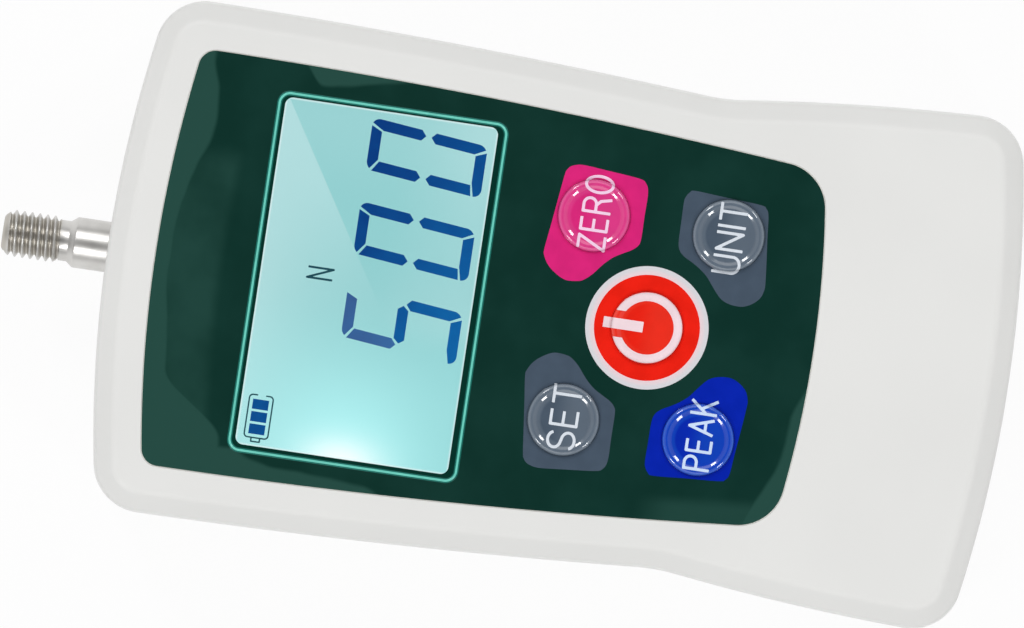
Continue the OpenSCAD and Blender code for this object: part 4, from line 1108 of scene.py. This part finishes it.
def window():
    plate = levels(lambda margin: let_out(PLATE, PLATE_CORNER, margin, WINDOW_MIDDLE), (
        (-0.15, PLATE_LOW_Z), (0.0, 33.95), (0.0, 35.1), (-0.06, 35.24), (-0.2, 35.29)))
    piece("window_plate", skin(plate), WINDOW_CLEAR, "window", angle=10.0, replaces=("window_lens",))
    lit_area = slab(rounded_rect(45.2, 27.8, 1.1, *WINDOW_MIDDLE), LCD_TOP_Z + 0.004, LCD_TOP_Z + 0.02)
    piece("display_lit_area", lit_area, DISPLAY, "display")


window()


DIGIT_H = 14.95
DIGIT_W = 6.68
SEGMENT = 1.38
DIGIT_BASE_Y = 5.2
LEAN = math.tan(math.radians(6.0))
FINE_GRID = 0.06
# Which bars of a digit are on: top, upper right, lower right, bottom, lower left, upper left, middle
DIGIT_BARS = {"5": "acdfg", "0": "abcdef"}


def digit_bars():
    """The seven bars of an upright digit: eased outer corners, slanted joints, points towards the middle."""
    w, h, t = DIGIT_W, DIGIT_H, SEGMENT
    r, gap, split, point, tip, slant = 1.1, 0.17, 0.34, 0.6, 0.92, 0.55
    mid = h / 2 + 0.12
    up, down = mid + split, mid - split
    high, low = up + point, down - point
    return {
        "a": [(t + gap, h - t), (w - t - gap, h - t), (w - 1.02, h), *bow(r, h - r, r, r, 90, 142, 8)],
        "b": [(w - t, h - t - gap), (w - t, high), (w - t / 2, up), (w, high),
              *bow(w - r, h - r, r, r, 0, 67, 8)],
        "c": [*bow(w - r, r, r, r, -60, 0, 8), (w, low), (w - t / 2, down), (w - t, low), (w - t, t + gap)],
        "d": [*bow(r, r, r, r, 185, 270, 8), (w - 0.87, 0.0), (w - t - gap, t), (t + 0.3, t)],
        "e": [(t / 2, down), (0.0, low), (0.0, t - 0.08), (t, t + 0.12), (t, low)],
        "f": [(t / 2, up), (t, high), (t, h - t - gap), (0.0, h - 0.68), (0.0, high)],
        "g": [(tip, mid), (tip + slant, mid - t / 2), (w - tip - slant, mid - t / 2), (w - tip, mid),
              (w - tip - slant, mid + t / 2), (tip + slant, mid + t / 2)],
    }


def flat_shapes(outlines, z):
    """Thin flat shapes from counter-clockwise outlines."""
    return join(*(slab(np.array(outline), z, z + 0.01) for outline in outlines))


def display_signs():
    z = LCD_TOP_Z + 0.025
    bars = digit_bars()
    shapes = []
    for digit, x0 in (("5", -8.39), ("0", 2.28), ("0", 13.05)):
        for letter in DIGIT_BARS[digit]:
            shapes.append([(x0 + x + y * LEAN, DIGIT_BASE_Y + y) for x, y in bars[letter]])
    for x1 in (-16.3, -17.88, -19.46):
        shapes.append([(x1 - 1.28, 27.9), (x1, 27.9), (x1, 29.96), (x1 - 1.28, 29.96)])
    piece("display_digits", flat_shapes(shapes, z), SEGMENTS, "display")

    x0, x1 = -21.2, -15.76
    around = np.roll(rounded_rect(x1 - x0, 3.04, 0.45, (x0 + x1) / 2, 28.93, 5), -6, 0)
    case = [[(x1, 29.4), *around, (x1, 28.4)],
            [(x0, 29.5), (x0 - 0.5, 29.5), (x0 - 0.5, 28.4), (x0, 28.4)]]
    letter = [[(0.0, 22.25), (0.0, 25.5), (1.35, 22.25), (1.35, 25.5)]]
    for name, lines, width, low, high in (
            ("display_battery_case", case, 0.19, (-22.4, 26.8), (-15.4, 30.9)),
            ("display_unit_letter", letter, 0.28, (-0.5, 21.7), (1.9, 25.8))):
        sheet = sign_sheet(strokes_field(lines, width), low, high, FINE_GRID, flat(z + 0.01))
        piece(name, sheet, FINE_LINES, "display")


display_signs()


# Measuring rod with its cut thread

def measuring_rod():
    low, tip = 32.5, 64.9
    pitch, depth, r = 1.0, 0.61, 3.0
    # End, collar, shank, shoulder and neck, as (radius, place along the axis)
    plain = [
        (0.0, low), (2.7, low), (3.0, low + 0.3), (3.0, 40.3), (4.9, 40.3), (5.0, 40.4), (5.0, 42.0),
        (4.9, 42.1), (3.25, 42.1), (3.25, 55.5), (3.21, 55.62), (3.12, 55.74), (2.66, 56.32), (2.6, 56.45),
        (2.6, THREAD_Y - 0.15),
    ]
    steps = 120
    turns = np.arange(steps) / steps
    round_axis = circle(0.0, 0.0, 1.0, steps)
    rings = [at_height(round_axis * max(pr, 1e-4), y) for pr, y in plain]
    for y in np.arange(THREAD_Y - 0.1, tip + 1e-6, 0.04):
        phase = (y / pitch - turns) % 1.0
        ridge = np.clip((0.5 - np.abs(phase - 0.5)) * 2.6 - 0.16, 0.0, 1.0)
        ridge = ridge * ridge * (3 - 2 * ridge) * 0.35 + ridge * 0.65
        radius = r - depth + depth * ridge
        run_out = 2.6 + max(0.0, y - THREAD_Y) * 0.6
        lead_in = 1.95 + (tip - y) * 0.78 + 0.2 * (1 - math.exp((y - tip) / 0.12))
        radius = np.minimum(radius, min(run_out, lead_in))
        rings.append(at_height(round_axis * radius[:, None], y))
    rings.append(at_height(round_axis * 1.75, tip))
    rings.append(at_height(round_axis * 0.8, tip - 0.25))
    mesh = along_y(skin(rings), ROD_Z)
    piece("measuring_rod", mesh, STUD_STEEL, "stud_steel", angle=40.0, replaces=("sensing_rod",), body="rod")


measuring_rod()


# Stage: floor, light and camera

def stage():
    size, floor_z = 4000.0, -0.05
    corners = [(x * size, y * size, floor_z) for x, y in ((-1, -1), (1, -1), (1, 1), (-1, 1))]
    floor = solid_object("floor", (corners, [(0, 1, 2, 3)]))
    paper = bpy.data.materials.new("floor_paper")
    paper.use_nodes = True
    graph = Graph(paper.node_tree)
    output = paper.node_tree.nodes["Material Output"]
    path = graph.node("ShaderNodeLightPath")
    seen = [Wire(graph, path.socket.node.outputs[name])
            for name in ("Is Camera Ray", "Is Glossy Ray", "Is Transmission Ray")]
    direct = seen[0].most(seen[1]).most(seen[2])
    matt = graph.node("ShaderNodeBsdfDiffuse", None, {"Color": (0.86, 0.86, 0.86, 1.0)})
    white = graph.node("ShaderNodeEmission", None, {"Color": (1.0, 1.0, 1.0, 1.0), "Strength": 1.0})
    shown = graph.node("ShaderNodeMixShader", None, {0: direct * 0.93, 1: matt, 2: white})
    graph.feed(output.inputs["Surface"], shown)
    floor.data.materials.append(paper)

    world = bpy.data.worlds.new("studio")
    bpy.context.scene.world = world
    world.use_nodes = True
    sky = Graph(world.node_tree)
    up = sky.node("ShaderNodeTexCoord", output="Generated")
    rise = Wire(sky, sky.node("ShaderNodeSeparateXYZ", None, {0: up}).socket.node.outputs[2])
    card = sky.ease(rise, 0.9903, 0.9455)
    side = sky.mix(sky.ease(rise, 0.4, 0.05), (0.4, 0.4, 0.4, 1.0), (0.9, 0.9, 0.9, 1.0))
    tone = sky.mix(card, (0.02, 0.02, 0.02, 1.0), side)
    sky.feed(world.node_tree.nodes["Background"].inputs["Color"], tone)

    zenith = math.radians(42)

    def lamp(name, azimuth, size_x, size_y, radiance):
        """An area light one metre off, turned towards the piece."""
        data = bpy.data.lights.new(name, "AREA")
        data.shape = "RECTANGLE"
        data.size = size_x
        data.size_y = size_y
        data.energy = radiance * math.pi * size_x * size_y
        made = bpy.data.objects.new(name, data)
        a = math.radians(azimuth)
        spot = Vector((math.sin(zenith) * math.cos(a), math.sin(zenith) * math.sin(a), math.cos(zenith)))
        made.matrix_world = Matrix.Translation(spot) @ spot.to_track_quat("Z", "Y").to_matrix().to_4x4()
        bpy.context.scene.collection.objects.link(made)

    for k, (azimuth, radiance) in enumerate(((40, 15.5), (141, 15.0), (230, 15.5), (316, 14.0))):
        lamp(f"strip_{k}", azimuth, 0.14, 0.2, radiance)
    for k, azimuth in enumerate((12, 168)):
        lamp(f"softbox_{k}", azimuth, 0.9, 0.5, 1.15)

    turn = math.radians(8.5)
    distance = 3.0
    view_width = 0.12995
    view = bpy.data.cameras.new("camera")
    view.sensor_width = 36.0
    view.lens = view.sensor_width * distance / view_width
    view.clip_end = 50.0
    camera = bpy.data.objects.new("camera", view)
    right = Vector((math.sin(turn), -math.cos(turn), 0.0))
    up = Vector((math.cos(turn), math.sin(turn), 0.0))
    spin = Matrix((right, up, right.cross(up))).transposed().to_4x4()
    camera.matrix_world = Matrix.Translation((-0.000825, -0.000957, BODY_T * 0.001 + distance)) @ spin
    bpy.context.scene.collection.objects.link(camera)
    bpy.context.scene.camera = camera
    bpy.context.scene.view_settings.view_transform = "Standard"


stage()
